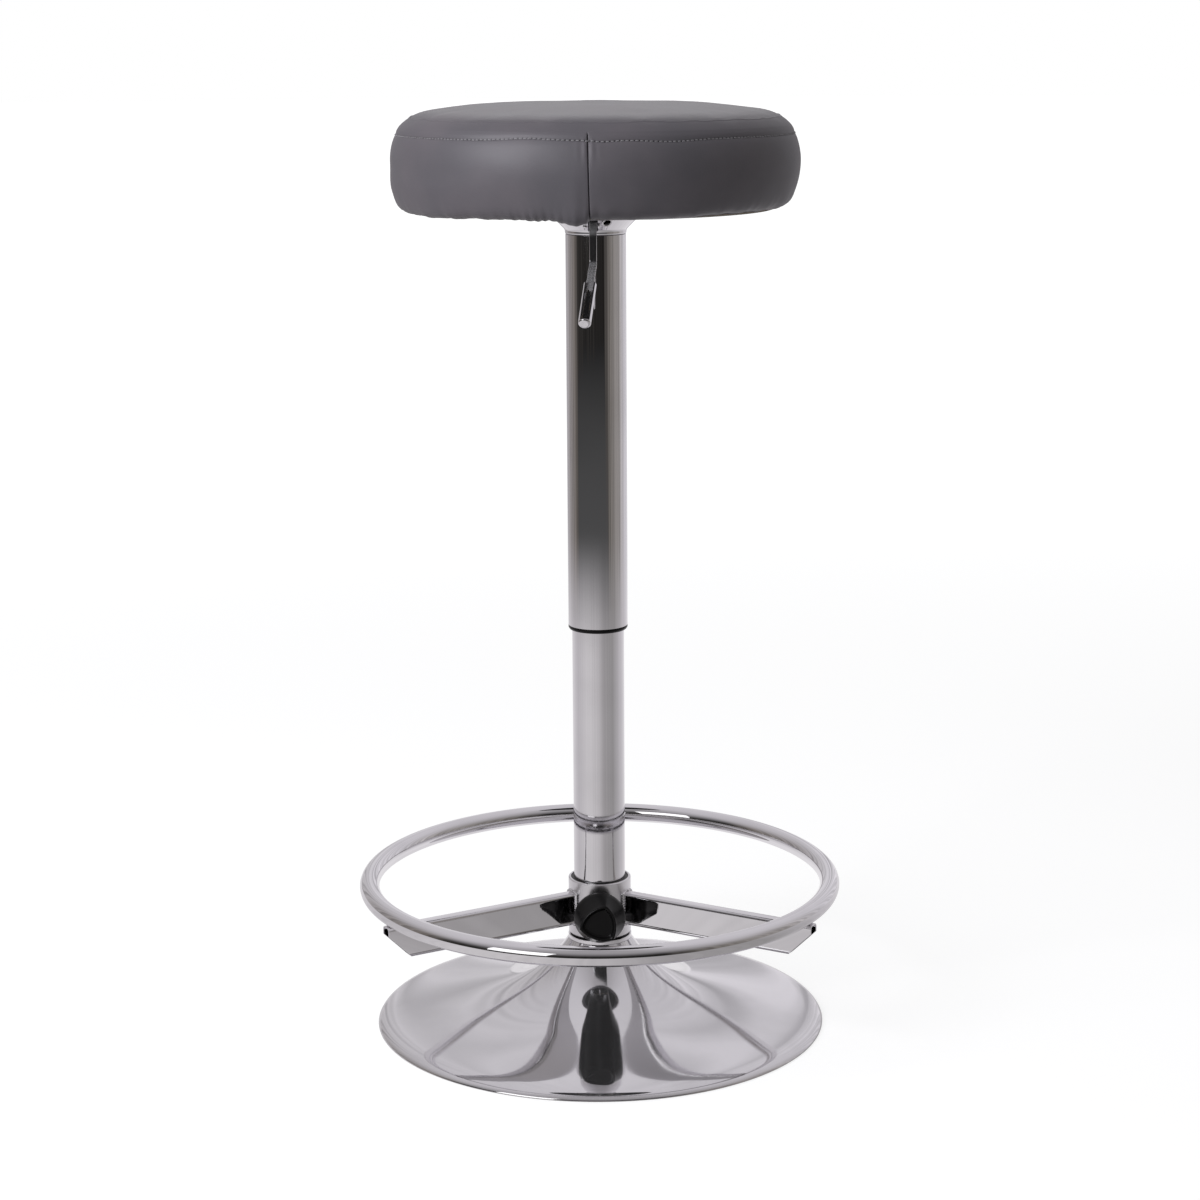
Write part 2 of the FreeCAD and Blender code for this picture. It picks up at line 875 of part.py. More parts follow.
def main():
    os.makedirs("parts", exist_ok=True)
    pieces = {
        "base_shell": base_shell,
        "base_socket": base_socket,
        "ballast_plate": ballast_plate,
        "floor_ring": floor_ring,
        "stand_tube": stand_tube,
        "column_foot": column_foot,
        "guide_bush": guide_bush,
        "thrust_washer_lower": thrust_washer_lower,
        "thrust_balls": thrust_balls,
        "thrust_washer_upper": thrust_washer_upper,
        "rod_clip": rod_clip,
        "rod_bumper": rod_bumper,
        "piston_rod": piston_rod,
        "piston": piston,
        "rod_guide": rod_guide,
        "pressure_tube": pressure_tube,
        "release_pin": release_pin,
        "lift_hub": lift_hub,
        "bell": bell,
        "cover_tube": cover_tube,
        "cover_ring": cover_ring,
        "lever_pivot": lever_pivot,
        "lever_bar": lever_bar,
        "lever_grip": lever_grip,
        "seat_plate": seat_plate,
        "seat_bolts": seat_bolts,
        "seat_washers": seat_washers,
        "tee_nuts": tee_nuts,
        "seat_board": seat_board,
        "seat_foam": seat_foam,
        "seat_top_panel": seat_top_panel,
        "seat_side_band": seat_side_band,
        "dust_cloth": dust_cloth,
        "foot_liner": foot_liner,
        "foot_collar": foot_collar,
        "clamp_boss": clamp_boss,
        "foot_ring_tube": ring_tube,
        "clamp_stud": clamp_stud,
        "clamp_knob": clamp_knob,
    }
    for name, build in pieces.items():
        write(name, build())
    for index, side in enumerate(arm_names):
        azimuth = first_arm_turn + 360 * index / len(arm_names)
        write(f"foot_arm_{side}", foot_arm(azimuth))


main()
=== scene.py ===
import json
import math

import bpy
from bpy.props import FloatProperty, FloatVectorProperty, IntProperty, PointerProperty
from mathutils import Matrix, Vector, noise

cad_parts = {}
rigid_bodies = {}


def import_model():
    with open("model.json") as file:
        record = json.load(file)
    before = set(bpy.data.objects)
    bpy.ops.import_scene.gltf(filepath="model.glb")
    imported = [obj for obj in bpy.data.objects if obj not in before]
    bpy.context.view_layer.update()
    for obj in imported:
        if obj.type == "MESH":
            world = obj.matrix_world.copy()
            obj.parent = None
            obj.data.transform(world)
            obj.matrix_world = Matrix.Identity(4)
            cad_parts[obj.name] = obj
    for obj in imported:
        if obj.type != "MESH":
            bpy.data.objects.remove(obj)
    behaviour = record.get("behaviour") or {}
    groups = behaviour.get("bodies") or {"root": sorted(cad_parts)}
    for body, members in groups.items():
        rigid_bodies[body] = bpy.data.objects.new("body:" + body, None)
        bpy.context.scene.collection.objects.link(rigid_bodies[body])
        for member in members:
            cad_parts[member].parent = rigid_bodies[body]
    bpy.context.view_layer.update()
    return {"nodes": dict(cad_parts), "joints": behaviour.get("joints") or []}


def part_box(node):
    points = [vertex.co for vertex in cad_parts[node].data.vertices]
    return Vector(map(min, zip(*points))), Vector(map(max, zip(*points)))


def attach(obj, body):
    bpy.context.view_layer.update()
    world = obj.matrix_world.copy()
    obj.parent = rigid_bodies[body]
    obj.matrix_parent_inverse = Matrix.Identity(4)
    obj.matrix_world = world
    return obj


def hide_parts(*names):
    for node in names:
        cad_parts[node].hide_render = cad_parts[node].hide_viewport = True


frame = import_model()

bl_info = {
    "name": "Round bar stool",
    "version": (1, 0, 0),
    "blender": (4, 5, 0),
    "location": "3D View > Sidebar > Stool",
    "description": "Dresses a bar stool with a padded seat, a gas column and a clamped foot ring",
    "category": "Object",
}

# The stool stands on z = 0, its column on the Z axis, its lever and knob towards -Y.
# Metres everywhere.

JOINTS = {joint["name"]: joint for joint in frame["joints"]}
LEVER_PIVOT = Vector(JOINTS["lever_lift"]["pos_m"])
CLAMP_PLACE = Vector(JOINTS["clamp_turn"]["pos_m"])

# Sizes that the frame gives
(_, _, BASE_LIFT), (BASE_RADIUS, _, NECK_TOP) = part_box("base_shell")
(_, _, SOCKET_BOTTOM), (NECK_RADIUS, _, SOCKET_TOP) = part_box("base_socket")
(_, _, COLUMN_BOTTOM), (COLUMN_RADIUS, _, COLUMN_TOP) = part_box("stand_tube")
(_, _, COVER_BOTTOM), (COVER_RADIUS, _, COVER_TOP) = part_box("cover_tube")
(_, _, END_RING_BOTTOM), (_, _, END_RING_TOP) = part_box("cover_ring")
(_, _, BELL_BOTTOM), (BELL_RADIUS, _, BELL_TOP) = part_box("bell")
(_, _, BOARD_BOTTOM), (BOARD_RADIUS, _, BOARD_TOP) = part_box("seat_board")
(_, _, SEAT_LOW), (SEAT_RADIUS, _, SEAM_HEIGHT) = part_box("seat_side_band")
_, (_, _, SEAT_TOP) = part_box("seat_top_panel")
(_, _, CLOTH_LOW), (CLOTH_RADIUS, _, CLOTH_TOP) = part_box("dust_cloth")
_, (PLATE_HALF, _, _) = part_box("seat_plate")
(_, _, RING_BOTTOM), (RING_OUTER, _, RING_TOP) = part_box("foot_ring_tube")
RING_TUBE = (RING_TOP - RING_BOTTOM) / 2
RING_RADIUS = RING_OUTER - RING_TUBE
RING_HEIGHT = RING_TOP - RING_TUBE
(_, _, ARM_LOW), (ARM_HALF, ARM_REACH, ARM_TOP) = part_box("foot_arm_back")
ARM_MIDDLE = (ARM_TOP + ARM_LOW) / 2
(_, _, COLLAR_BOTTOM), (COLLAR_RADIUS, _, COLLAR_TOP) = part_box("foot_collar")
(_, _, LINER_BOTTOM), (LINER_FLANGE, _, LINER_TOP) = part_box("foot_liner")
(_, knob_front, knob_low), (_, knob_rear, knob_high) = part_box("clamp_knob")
KNOB_BACK = -knob_rear
KNOB_FACE = -knob_front
KNOB_RADIUS = (knob_high - knob_low) / 2

FACETS_ROUND = 192
# A ring this small merges into one point
POLE = 0.0000001
# The gap between two turned parts that fit closely
CLOSE_FIT = 0.00005
UP = Vector((0, 0, 1))


# Settings

def colour_setting(name, description, default):
    return FloatVectorProperty(
        name=name, description=description, subtype="COLOR", size=3, min=0.0, max=1.0,
        default=default,
    )


def number_setting(name, description, low, high, default, **more):
    return FloatProperty(
        name=name, description=description, min=low, max=high, default=default, **more,
    )


class SeatSettings(bpy.types.PropertyGroup):
    """Colours and sewing of the seat."""

    leather: colour_setting(
        "Leather colour", "Colour of the faux leather", (0.118, 0.112, 0.124),
    )
    thread: colour_setting("Thread colour", "Colour of the topstitching", (0.33, 0.32, 0.33))
    stitch_pitch: number_setting(
        "Stitch pitch", "Distance from one stitch to the next", 0.002, 0.01, 0.0042, unit="LENGTH",
    )
    stitch_drop: number_setting(
        "Stitch drop", "How far the topstitching runs below the seam", 0.003, 0.02, 0.0078,
        unit="LENGTH",
    )
    seam_depth: number_setting(
        "Seam depth", "How deep the upright seam of the band sinks in", 0.0005, 0.005, 0.0024,
        unit="LENGTH",
    )
    swell: number_setting(
        "Swell limit", "The most that the padding swells out of its cut shape", 0.0, 0.01, 0.005,
        unit="LENGTH",
    )


class MetalSettings(bpy.types.PropertyGroup):
    """Plating and the sheet of the base."""

    plating: colour_setting("Plating colour", "Colour of the bright plating", (0.79, 0.78, 0.80))
    gloss: number_setting("Plating roughness", "Roughness of the clean plating", 0.0, 1.0, 0.035)
    sheet: number_setting(
        "Base sheet", "Thickness of the base's sheet metal", 0.0005, 0.003, 0.0012, unit="LENGTH",
    )


class KnobSettings(bpy.types.PropertyGroup):
    """The clamp knob."""

    plastic: colour_setting(
        "Plastic colour", "Colour of the moulded knob", (0.0024, 0.0023, 0.0023),
    )
    turn: FloatProperty(
        name="Turn", description="Where the first lobe of the knob points", subtype="ANGLE",
        default=math.radians(71),
    )
    lobes: IntProperty(
        name="Lobes", description="Number of lobes on the knob", min=3, max=6, default=3,
    )


class StudioSettings(bpy.types.PropertyGroup):
    """The floor and the lamps."""

    key_power: number_setting(
        "Key lamp", "Power of the big lamp on the left", 0.0, 500.0, 85.0, unit="POWER",
    )
    window_power: number_setting(
        "Window", "Power of the soft lamp that the plating mirrors", 0.0, 50.0, 10.0, unit="POWER",
    )
    fill_level: number_setting("Fill level", "Level of the light from all round", 0.0, 2.0, 0.31)
    floor_radius: number_setting(
        "Floor radius", "How far the floor reaches", 2.0, 60.0, 40.0, unit="LENGTH",
    )


# Shader expressions

class Wire:
    """A socket's value, which adds Math nodes when it stands in an expression."""

    def __init__(self, shader, socket):
        self.shader = shader
        self.socket = socket

    def other(self, output):
        """Another output of the same node."""
        return Wire(self.shader, self.socket.node.outputs[output])

    def maths(self, operation, *values):
        return self.shader.add("ShaderNodeMath", {"operation": operation}, dict(enumerate(values)))

    def __add__(self, other):
        return self.maths("ADD", self, other)

    def __sub__(self, other):
        return self.maths("SUBTRACT", self, other)

    def __rsub__(self, other):
        return self.maths("SUBTRACT", other, self)

    def __mul__(self, other):
        return self.maths("MULTIPLY", self, other)

    def __truediv__(self, other):
        return self.maths("DIVIDE", self, other)

    def within(self, low, high):
        return self.maths("MINIMUM", self.maths("MAXIMUM", self, low), high)

    def rising(self, low, high):
        """0 below low, 1 above high and a soft step between them."""
        inputs = {"Value": self, "From Min": low, "From Max": high}
        return self.shader.add("ShaderNodeMapRange", {"interpolation_type": "SMOOTHSTEP"}, inputs)


class Shader:
    """A node tree that is written as expressions."""

    def __init__(self, tree):
        self.tree = tree
        tree.nodes.clear()

    def add(self, kind, settings=None, inputs=None, output=0):
        """Adds one node. Its settings are set first, then its sockets are filled or linked."""
        node = self.tree.nodes.new(kind)
        for name, value in (settings or {}).items():
            setattr(node, name, value)
        for key, value in (inputs or {}).items():
            socket = node.inputs[key]
            if isinstance(value, Wire):
                self.tree.links.new(value.socket, socket)
            else:
                socket.default_value = (*value, 1.0) if socket.type == "RGBA" else value
        return Wire(self, node.outputs[output]) if node.outputs else node

    def ramp(self, value, stops):
        shade = self.add("ShaderNodeValToRGB", None, {0: value})
        elements = shade.socket.node.color_ramp.elements
        while len(elements) < len(stops):
            elements.new(1.0)
        for element, (position, colour) in zip(elements, stops):
            element.position = position
            element.color = (*colour, 1.0)
        return shade

    def mix(self, factor, first, second):
        inputs = {0: factor, 6: first, 7: second}
        return self.add("ShaderNodeMix", {"data_type": "RGBA"}, inputs, output=2)

    def vector(self, operation, inputs, output=0):
        return self.add("ShaderNodeVectorMath", {"operation": operation}, inputs, output)

    def here(self):
        """Object coordinates."""
        return self.add("ShaderNodeTexCoord", output="Object")

    def place(self, scale=(1, 1, 1)):
        """Object coordinates, stretched by a scale."""
        return self.add("ShaderNodeMapping", None, {"Vector": self.here(), "Scale": scale})

    def noise(self, vector, scale, detail=2.0, roughness=0.5):
        inputs = {"Vector": vector, "Scale": scale, "Detail": detail, "Roughness": roughness}
        return self.add("ShaderNodeTexNoise", None, inputs)

    def bump(self, height, distance):
        return self.add("ShaderNodeBump", None, {"Height": height, "Distance": distance})


def grey(level):
    return (level, level, level)


def tinted(colour, share):
    return [channel * share for channel in colour]


def surface(name, paint, *values):
    """A material whose surface is painted by a function that returns the shader's sockets."""
    material = bpy.data.materials.new(name)
    material.use_nodes = True
    shader = Shader(material.node_tree)
    closure = shader.add("ShaderNodeBsdfPrincipled", None, paint(shader, *values))
    shader.add("ShaderNodeOutputMaterial", None, {"Surface": closure})
    return material


# Finishes. Each one fills the sockets of the shader.

def plating(shader, height, depth, haze, rough=0.0, dullness=0.0):
    """Bright plating with smudges, and the relief that its making leaves."""
    settings = bpy.context.scene.stool_metal
    smudge = shader.noise(shader.place(), 14.0, detail=4.0).rising(0.42, 0.75)
    return {
        "Base Color": shader.mix(smudge, settings.plating, tinted(settings.plating, 0.93)),
        "Metallic": 1.0 - dullness,
        "Roughness": smudge * haze + (settings.gloss + rough),
        "Normal": shader.bump(height(shader), depth),
    }


def worn_bar(shader):
    """Plating that is bright on the middle of the lever and dull at its bends."""
    settings = bpy.context.scene.stool_metal
    place = shader.place()
    height = shader.add("ShaderNodeSeparateXYZ", None, {0: place}, output="Z")
    elbow = LEVER_PIVOT.z - ELBOW_DROP
    bright = height.rising(elbow + 0.0005, elbow + 0.0035)
    knee = height.rising(LEVER_PIVOT.z - 0.012, LEVER_PIVOT.z - 0.006)
    bright = bright * (1.0 - knee)
    specks = shader.noise(place, 900.0, detail=3.0)
    worn = (1.0 - bright) * (specks * 0.6 + 0.5)
    return {
        "Base Color": shader.mix(specks, settings.plating, grey(0.75)),
        "Metallic": 1.0 - worn * 0.45 - knee * 0.5,
        "Roughness": worn * 0.3 + settings.gloss,
        "Normal": shader.bump(specks, 0.00002),
    }


def drawn_lines(shader):
    """Faint lines along an upright tube, as drawing and buffing leave them."""
    return shader.noise(shader.place((60, 60, 0.6)), 12.0, detail=3.0)


def spun_lines(shader):
    """Fine rings round the middle, as spinning leaves them in the sheet."""
    flat = shader.vector("MULTIPLY", {0: shader.here(), 1: (1, 1, 0)})
    radius = shader.vector("LENGTH", {0: flat}, "Value")
    rings = {"W": radius, "Scale": 420.0, "Detail": 3.0}
    fine = shader.add("ShaderNodeTexNoise", {"noise_dimensions": "1D"}, rings)
    waves = shader.noise(shader.place(), 9.0, detail=2.0)
    return fine * 0.012 + waves


def cast_skin(shader):
    """The soft unevenness of a plated casting."""
    return shader.noise(shader.place(), 120.0, detail=3.0)


def weld_skin(shader):
    return shader.noise(shader.place(), 600.0, detail=2.0)


def steel(shader, colour, rough):
    """Zinc-plated or turned steel with a fine grain."""
    grain = shader.noise(shader.place((1, 1, 8)), 260.0, detail=4.0)
    patches = shader.noise(shader.place(), 30.0, detail=3.0)
    return {
        "Base Color": shader.mix(patches, colour, tinted(colour, 0.7)),
        "Metallic": 1.0,
        "Roughness": grain * 0.15 + rough,
        "Normal": shader.bump(grain, 0.00003),
    }


def iron(shader):
    """Primed cast iron."""
    pits = shader.noise(shader.place(), 400.0, detail=6.0)
    stain = shader.noise(shader.place(), 25.0, detail=4.0)
    return {
        "Base Color": shader.mix(stain, grey(0.10), (0.15, 0.12, 0.10)),
        "Metallic": 0.2,
        "Roughness": pits * 0.2 + 0.6,
        "Normal": shader.bump(pits, 0.0004),
    }


def moulded(shader, colour, rough, shine, grain_scale=900.0, grain_depth=0.00004):
    """Moulded plastic or rubber with a fine spark-eroded grain."""
    grain = shader.noise(shader.place(), grain_scale, detail=3.0)
    wear = shader.noise(shader.place(), 55.0, detail=4.0).rising(0.45, 0.8)
    pale = [channel * 1.5 + 0.001 for channel in colour]
    return {
        "Base Color": shader.mix(wear, colour, pale),
        "Roughness": wear * 0.08 + grain * 0.06 + rough,
        "Normal": shader.bump(grain, grain_depth),
        "Specular IOR Level": shine,
    }


def knob_plastic(shader):
    return moulded(shader, bpy.context.scene.stool_knob.plastic, 0.27, 0.17)


def gloss_paint(shader):
    """Gloss black paint with a light orange peel."""
    peel = shader.noise(shader.place(), 220.0, detail=2.0)
    dust = shader.noise(shader.place(), 40.0, detail=4.0).rising(0.5, 0.8)
    return {
        "Base Color": shader.mix(dust, grey(0.018), grey(0.035)),
        "Roughness": dust * 0.2 + 0.22,
        "Normal": shader.bump(peel, 0.00006),
    }


def plywood(shader):
    """Birch plywood: long grain on the faces and plies on the edge."""
    grain = shader.noise(shader.place((2, 30, 2)), 16.0, detail=5.0)
    waves = {"Vector": shader.place(), "Scale": 120.0, "Distortion": 0.4}
    plies = shader.add("ShaderNodeTexWave", {"bands_direction": "Z"}, waves, output="Fac")
    stops = ((0.0, (0.36, 0.28, 0.20)), (0.5, (0.55, 0.46, 0.35)), (1.0, (0.66, 0.58, 0.47)))
    return {
        "Base Color": shader.ramp(grain * 0.75 + plies * 0.25, stops),
        "Roughness": grain * 0.2 + 0.6,
        "Normal": shader.bump(grain, 0.0001),
    }


def painted_hole_shade(shader, place):
    """Painted shade of the needle holes between the topstitches: a mask from 0 to 1 where the
    leather's colour is darkened.
    """
    settings = bpy.context.scene.stool_seat
    x = shader.add("ShaderNodeSeparateXYZ", None, {0: place}, output="X")
    turn = x.maths("ARCTAN2", x.other("Y"), x)
    between = turn.maths("COSINE", turn * stitch_count(settings))
    named_values = {"attribute_name": "stitch_wander"}
    stray = shader.add("ShaderNodeAttribute", named_values, output="Fac")
    away = x.maths("ABSOLUTE", x.other("Z") - stray - stitch_ring(settings)[1])
    return between.rising(0.35, 0.85) * (1.0 - away.rising(0.0004, 0.0010))


def leather(shader, sewn):
    """Grey faux leather: a fine pebble grain, broad soft clouds and a satin sheen, and for the sewn
    band painted shade in the needle holes.
    """
    base = bpy.context.scene.stool_seat.leather
    place = shader.place()
    cells = {"Vector": place, "Scale": 1150.0, "Smoothness": 0.6}
    pebbles = shader.add("ShaderNodeTexVoronoi", {"feature": "SMOOTH_F1"}, cells)
    creases = shader.noise(place, 520.0, detail=4.0, roughness=0.6)
    clouds = shader.noise(place, 16.0, detail=4.0)
    warm = [channel * share for channel, share in zip(base, (1.10, 1.06, 1.05))]
    colour = shader.mix(clouds.rising(0.3, 0.7), tinted(base, 0.92), warm)
    # Painted shade: the needle holes of the topstitching are darkened nearly to black in the
    # colour.
    if sewn:
        colour = shader.mix(painted_hole_shade(shader, place) * 0.8, colour, grey(0.01))
    return {
        "Base Color": colour,
        "Roughness": clouds * 0.08 + creases * 0.08 + 0.42,
        "Normal": shader.bump(pebbles * 0.7 + creases * 0.5, 0.00006),
        "Specular IOR Level": 0.5,
    }


def twisted_thread(shader):
    """Twisted polyester thread."""
    colour = bpy.context.scene.stool_seat.thread
    twist = shader.noise(shader.place(), 1500.0, detail=2.0)
    return {
        "Base Color": shader.mix(twist, tinted(colour, 0.7), colour),
        "Roughness": twist * 0.2 + 0.5,
        "Normal": shader.bump(twist, 0.0001),
    }


def nonwoven_cloth(shader):
    """Black non-woven cloth: pressed fibres with a grid of bonded points."""
    place = shader.place()
    fibres = shader.noise(place, 1400.0, detail=5.0, roughness=0.7)
    cells = {"Vector": place, "Scale": 520.0, "Randomness": 0.1}
    points = shader.add("ShaderNodeTexVoronoi", {"feature": "F1"}, cells)
    return {
        "Base Color": shader.mix(fibres, grey(0.012), grey(0.045)),
        "Roughness": fibres * 0.1 + 0.82,
        "Normal": shader.bump(fibres * 0.6 + points * 0.8, 0.0002),
    }


# Each material by its name, with its finish and the finish's values
FINISHES = {
    "plating_drawn": (plating, drawn_lines, 0.00001, 0.03),
    "plating_spun": (plating, spun_lines, 0.0002, 0.04, 0.015, 0.08),
    "plating_ring": (plating, cast_skin, 0.000004, 0.03),
    "plating_cast": (plating, cast_skin, 0.00006, 0.05),
    "plating_brushed": (plating, drawn_lines, 0.00002, 0.05, 0.26),
    "plating_weld": (plating, weld_skin, 0.0001, 0.20, 0.10, 0.1),
    "worn_bar": (worn_bar,),
    "zinc_steel": (steel, (0.56, 0.56, 0.58), 0.28),
    "primed_iron": (iron,),
    "black_rubber": (moulded, (0.022, 0.022, 0.023), 0.6, 0.4, 500.0, 0.0001),
    "black_moulding": (knob_plastic,),
    "gloss_paint": (gloss_paint,),
    "birch_plywood": (plywood,),
    "grey_faux_leather": (leather, False),
    # The sewn leather has painted shade in its needle holes.
    "sewn_leather_painted_hole_shade": (leather, True),
    "twisted_thread": (twisted_thread,),
    "nonwoven_cloth": (nonwoven_cloth,),
}
MATERIALS = {}


def set_finish(piece, name):
    """Gives a piece the named material, which is made when it is first asked for."""
    if name not in MATERIALS:
        MATERIALS[name] = surface(name, *FINISHES[name])
    piece.data.materials.clear()
    piece.data.materials.append(MATERIALS[name])


# Modelling helpers

def pick(*pieces):
    """Selects some pieces alone and makes the first one active."""
    bpy.ops.object.select_all(action="DESELECT")
    for piece in pieces:
        piece.select_set(True)
    bpy.context.view_layer.objects.active = pieces[0]


def start_edit(piece):
    pick(piece)
    bpy.ops.object.mode_set(mode="EDIT")
    bpy.ops.mesh.select_all(action="SELECT")


def end_edit():
    bpy.ops.object.mode_set(mode="OBJECT")


def shape(name, add, scale=(1, 1, 1), **values):
    """A basic mesh that an operator adds, with its place, turn and scale put in its points."""
    bpy.ops.object.select_all(action="DESELECT")
    add(**values)
    piece = bpy.context.object
    piece.scale = scale
    piece.name = piece.data.name = name
    bpy.ops.object.transform_apply(location=True, rotation=True, scale=True)
    return piece


def circle(name, facets, radius, height=0.0, fill="NOTHING"):
    return shape(
        name, bpy.ops.mesh.primitive_circle_add, vertices=facets, radius=radius,
        location=(0, 0, height), fill_type=fill,
    )


def ball(name, place, size, segments, rings):
    return shape(
        name, bpy.ops.mesh.primitive_uv_sphere_add, size, segments=segments, ring_count=rings,
        radius=1.0, location=place,
    )


def clean(piece):
    """Merges doubles and turns the faces outwards."""
    start_edit(piece)
    bpy.ops.mesh.remove_doubles(threshold=0.0000005)
    bpy.ops.mesh.normals_make_consistent(inside=False)
    end_edit()
    return piece


def smooth(piece, degrees=40):
    pick(piece)
    bpy.ops.object.shade_smooth_by_angle(angle=math.radians(degrees))


def add_modifier(piece, kind, **values):
    """Adds a modifier, sets it and applies it."""
    pick(piece)
    modifier = piece.modifiers.new(kind.title(), kind)
    for name, value in values.items():
        setattr(modifier, name, value)
    bpy.ops.object.modifier_apply(modifier=modifier.name)


def crisp(piece, degrees):
    """Smooth shading in which a large wall keeps its own normals beside small rounds."""
    smooth(piece, degrees)
    add_modifier(piece, "WEIGHTED_NORMAL", mode="FACE_AREA", weight=50, keep_sharp=True)


def turned(name, rings, facets=FACETS_ROUND):
    """A turned wall: one circle, extruded from ring to ring. A ring is a radius and a height."""
    radius, height = rings[0]
    piece = circle(name, facets, radius, height)
    start_edit(piece)
    for next_radius, next_height in rings[1:]:
        step = {"value": (0, 0, next_height - height)}
        bpy.ops.mesh.extrude_edges_move(TRANSFORM_OT_translate=step)
        scale = next_radius / radius
        bpy.ops.transform.resize(value=(scale, scale, 1), center_override=(0, 0, 0))
        radius, height = next_radius, next_height
    end_edit()
    return clean(piece)


def laid_along(name, facets, frames, outline, closed=False):
    """A bar drawn along a path: a straight prism of rings, each then laid on its own frame.

    A frame is a place, a side and an upward direction. outline turns an angle and the
    number of the ring into a place across and up.
    """
    piece = circle(name, facets, 1.0, fill="NOTHING" if closed else "NGON")
    start_edit(piece)
    extrude = bpy.ops.mesh.extrude_edges_move if closed else bpy.ops.mesh.extrude_region_move
    for _ in frames[1:]:
        extrude(TRANSFORM_OT_translate={"value": (0, 0, 1)})
    end_edit()
    for vertex in piece.data.vertices:
        ring = round(vertex.co.z)
        place, side, up = frames[ring]
        across, rise = outline(math.atan2(vertex.co.y, vertex.co.x), ring)
        vertex.co = place + side * across + up * rise
    if not closed:
        start_edit(piece)
        bpy.ops.mesh.normals_make_consistent(inside=False)
        end_edit()
        return piece
    return clean(piece)


def round_outline(radius):
    return lambda angle, ring: (radius * math.cos(angle), radius * math.sin(angle))


def cut_away(piece, cutter):
    add_modifier(piece, "BOOLEAN", operation="DIFFERENCE", solver="EXACT", object=cutter)
    bpy.data.objects.remove(cutter)


def join(name, pieces):
    pick(*pieces)
    bpy.ops.object.join()
    pieces[0].name = pieces[0].data.name = name
    return pieces[0]


def turn_round(piece, degrees):
    """Turns a piece about the column and puts the turn in its mesh."""
    piece.data.transform(Matrix.Rotation(math.radians(degrees), 4, "Z"))


def hand_over(piece, finish, body, slot, *replaced):
    """Gives a piece its finish and hands it to the frame."""
    set_finish(piece, finish)
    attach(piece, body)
    if replaced:
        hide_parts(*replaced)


def bezier(poles, steps):
    """Points on a cubic curve after its first pole."""
    points = []
    for step in range(1, steps + 1):
        t = step / steps
        s = 1 - t
        shares = (s * s * s, 3 * s * s * t, 3 * s * t * t, t * t * t)
        point = (sum(share * pole[axis] for share, pole in zip(shares, poles)) for axis in (0, 1))
        points.append(tuple(point))
    return points


def half_turn(angle):
    """The same angle between minus and plus half a turn."""
    return (angle + math.pi) % (2 * math.pi) - math.pi


def arc(start, middle, end, steps):
    """Points on the circle through three points, after the first one."""
    (ax, ay), (bx, by), (cx, cy) = start, middle, end
    double = 2 * (ax * (by - cy) + bx * (cy - ay) + cx * (ay - by))
    a, b, c = ax * ax + ay * ay, bx * bx + by * by, cx * cx + cy * cy
    x = (a * (by - cy) + b * (cy - ay) + c * (ay - by)) / double
    y = (a * (cx - bx) + b * (ax - cx) + c * (bx - ax)) / double
    radius = math.hypot(ax - x, ay - y)
    first = math.atan2(ay - y, ax - x)
    turn = half_turn(math.atan2(cy - y, cx - x) - first)
    points = []
    for step in range(1, steps + 1):
        angle = first + turn * step / steps
        points.append((x + radius * math.cos(angle), y + radius * math.sin(angle)))
    return points


def bend(corner, before, after, radius, steps):
    """Points of a soft bend that takes the place of a corner between two neighbours."""
    corner, before, after = Vector(corner), Vector(before), Vector(after)
    start = corner + (before - corner).normalized() * radius
    end = corner + (after - corner).normalized() * radius
    points = []
    for step in range(steps + 1):
        t = step / steps
        points.append(start * (1 - t) ** 2 + corner * 2 * t * (1 - t) + end * t ** 2)
    return points


def with_fillets(corners, radius, steps=4):
    """A closed ring outline with round corners, which ends where it starts.

    A corner is two numbers, or three where it has a radius of its own.
    """
    points = []
    for index, corner in enumerate(corners):
        own = corner[2] if len(corner) > 2 else radius
        before = corners[index - 1][:2]
        after = corners[(index + 1) % len(corners)][:2]
        points.extend(tuple(point) for point in bend(corner[:2], before, after, own, steps))
    return points + points[:1]


def turned_part(name, corners, edge, finish, body, slot, node):
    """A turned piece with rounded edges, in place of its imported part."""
    piece = turned(name, with_fillets(corners, edge))
    crisp(piece, 60)
    hand_over(piece, finish, body, slot, node)


def flat_bar_outline(width, height, corner, steps):
    """The section of a flat bar or tube with round corners, as a list of places."""
    half_width = width / 2
    half_height = height / 2
    corners = (
        (half_width, -half_height), (half_width, half_height),
        (-half_width, half_height), (-half_width, -half_height),
    )
    return with_fillets(corners, corner, steps)[:-1]


def listed_outline(points):
    """Turns a list of places into the outline function that laid_along asks for."""
    count = len(points)

    def outline(angle, ring):
        return points[round(angle / (2 * math.pi) * count) % count]

    return outline


def rod(name, radius, start, end, facets=32):
    """A round bar between two places."""
    direction = (end - start).normalized()
    side = direction.orthogonal().normalized()
    up = direction.cross(side)
    frames = [(start, side, up), (end, side, up)]
    return laid_along(name, facets, frames, round_outline(radius))


def block(name, low, high):
    """A straight block between two corners."""
    centre = [(a + b) / 2 for a, b in zip(low, high)]
    scale = [b - a for a, b in zip(low, high)]
    return shape(name, bpy.ops.mesh.primitive_cube_add, scale, size=1, location=centre)


def radius_of(place):
    return math.hypot(place.x, place.y)


def angle_of(place):
    return math.atan2(place.y, place.x)


class Step:
    """What the operators share: each runs its makers one after the other."""

    makers = ()

    def execute(self, context):
        for make in self.makers:
            make()
        return {"FINISHED"}


# Base

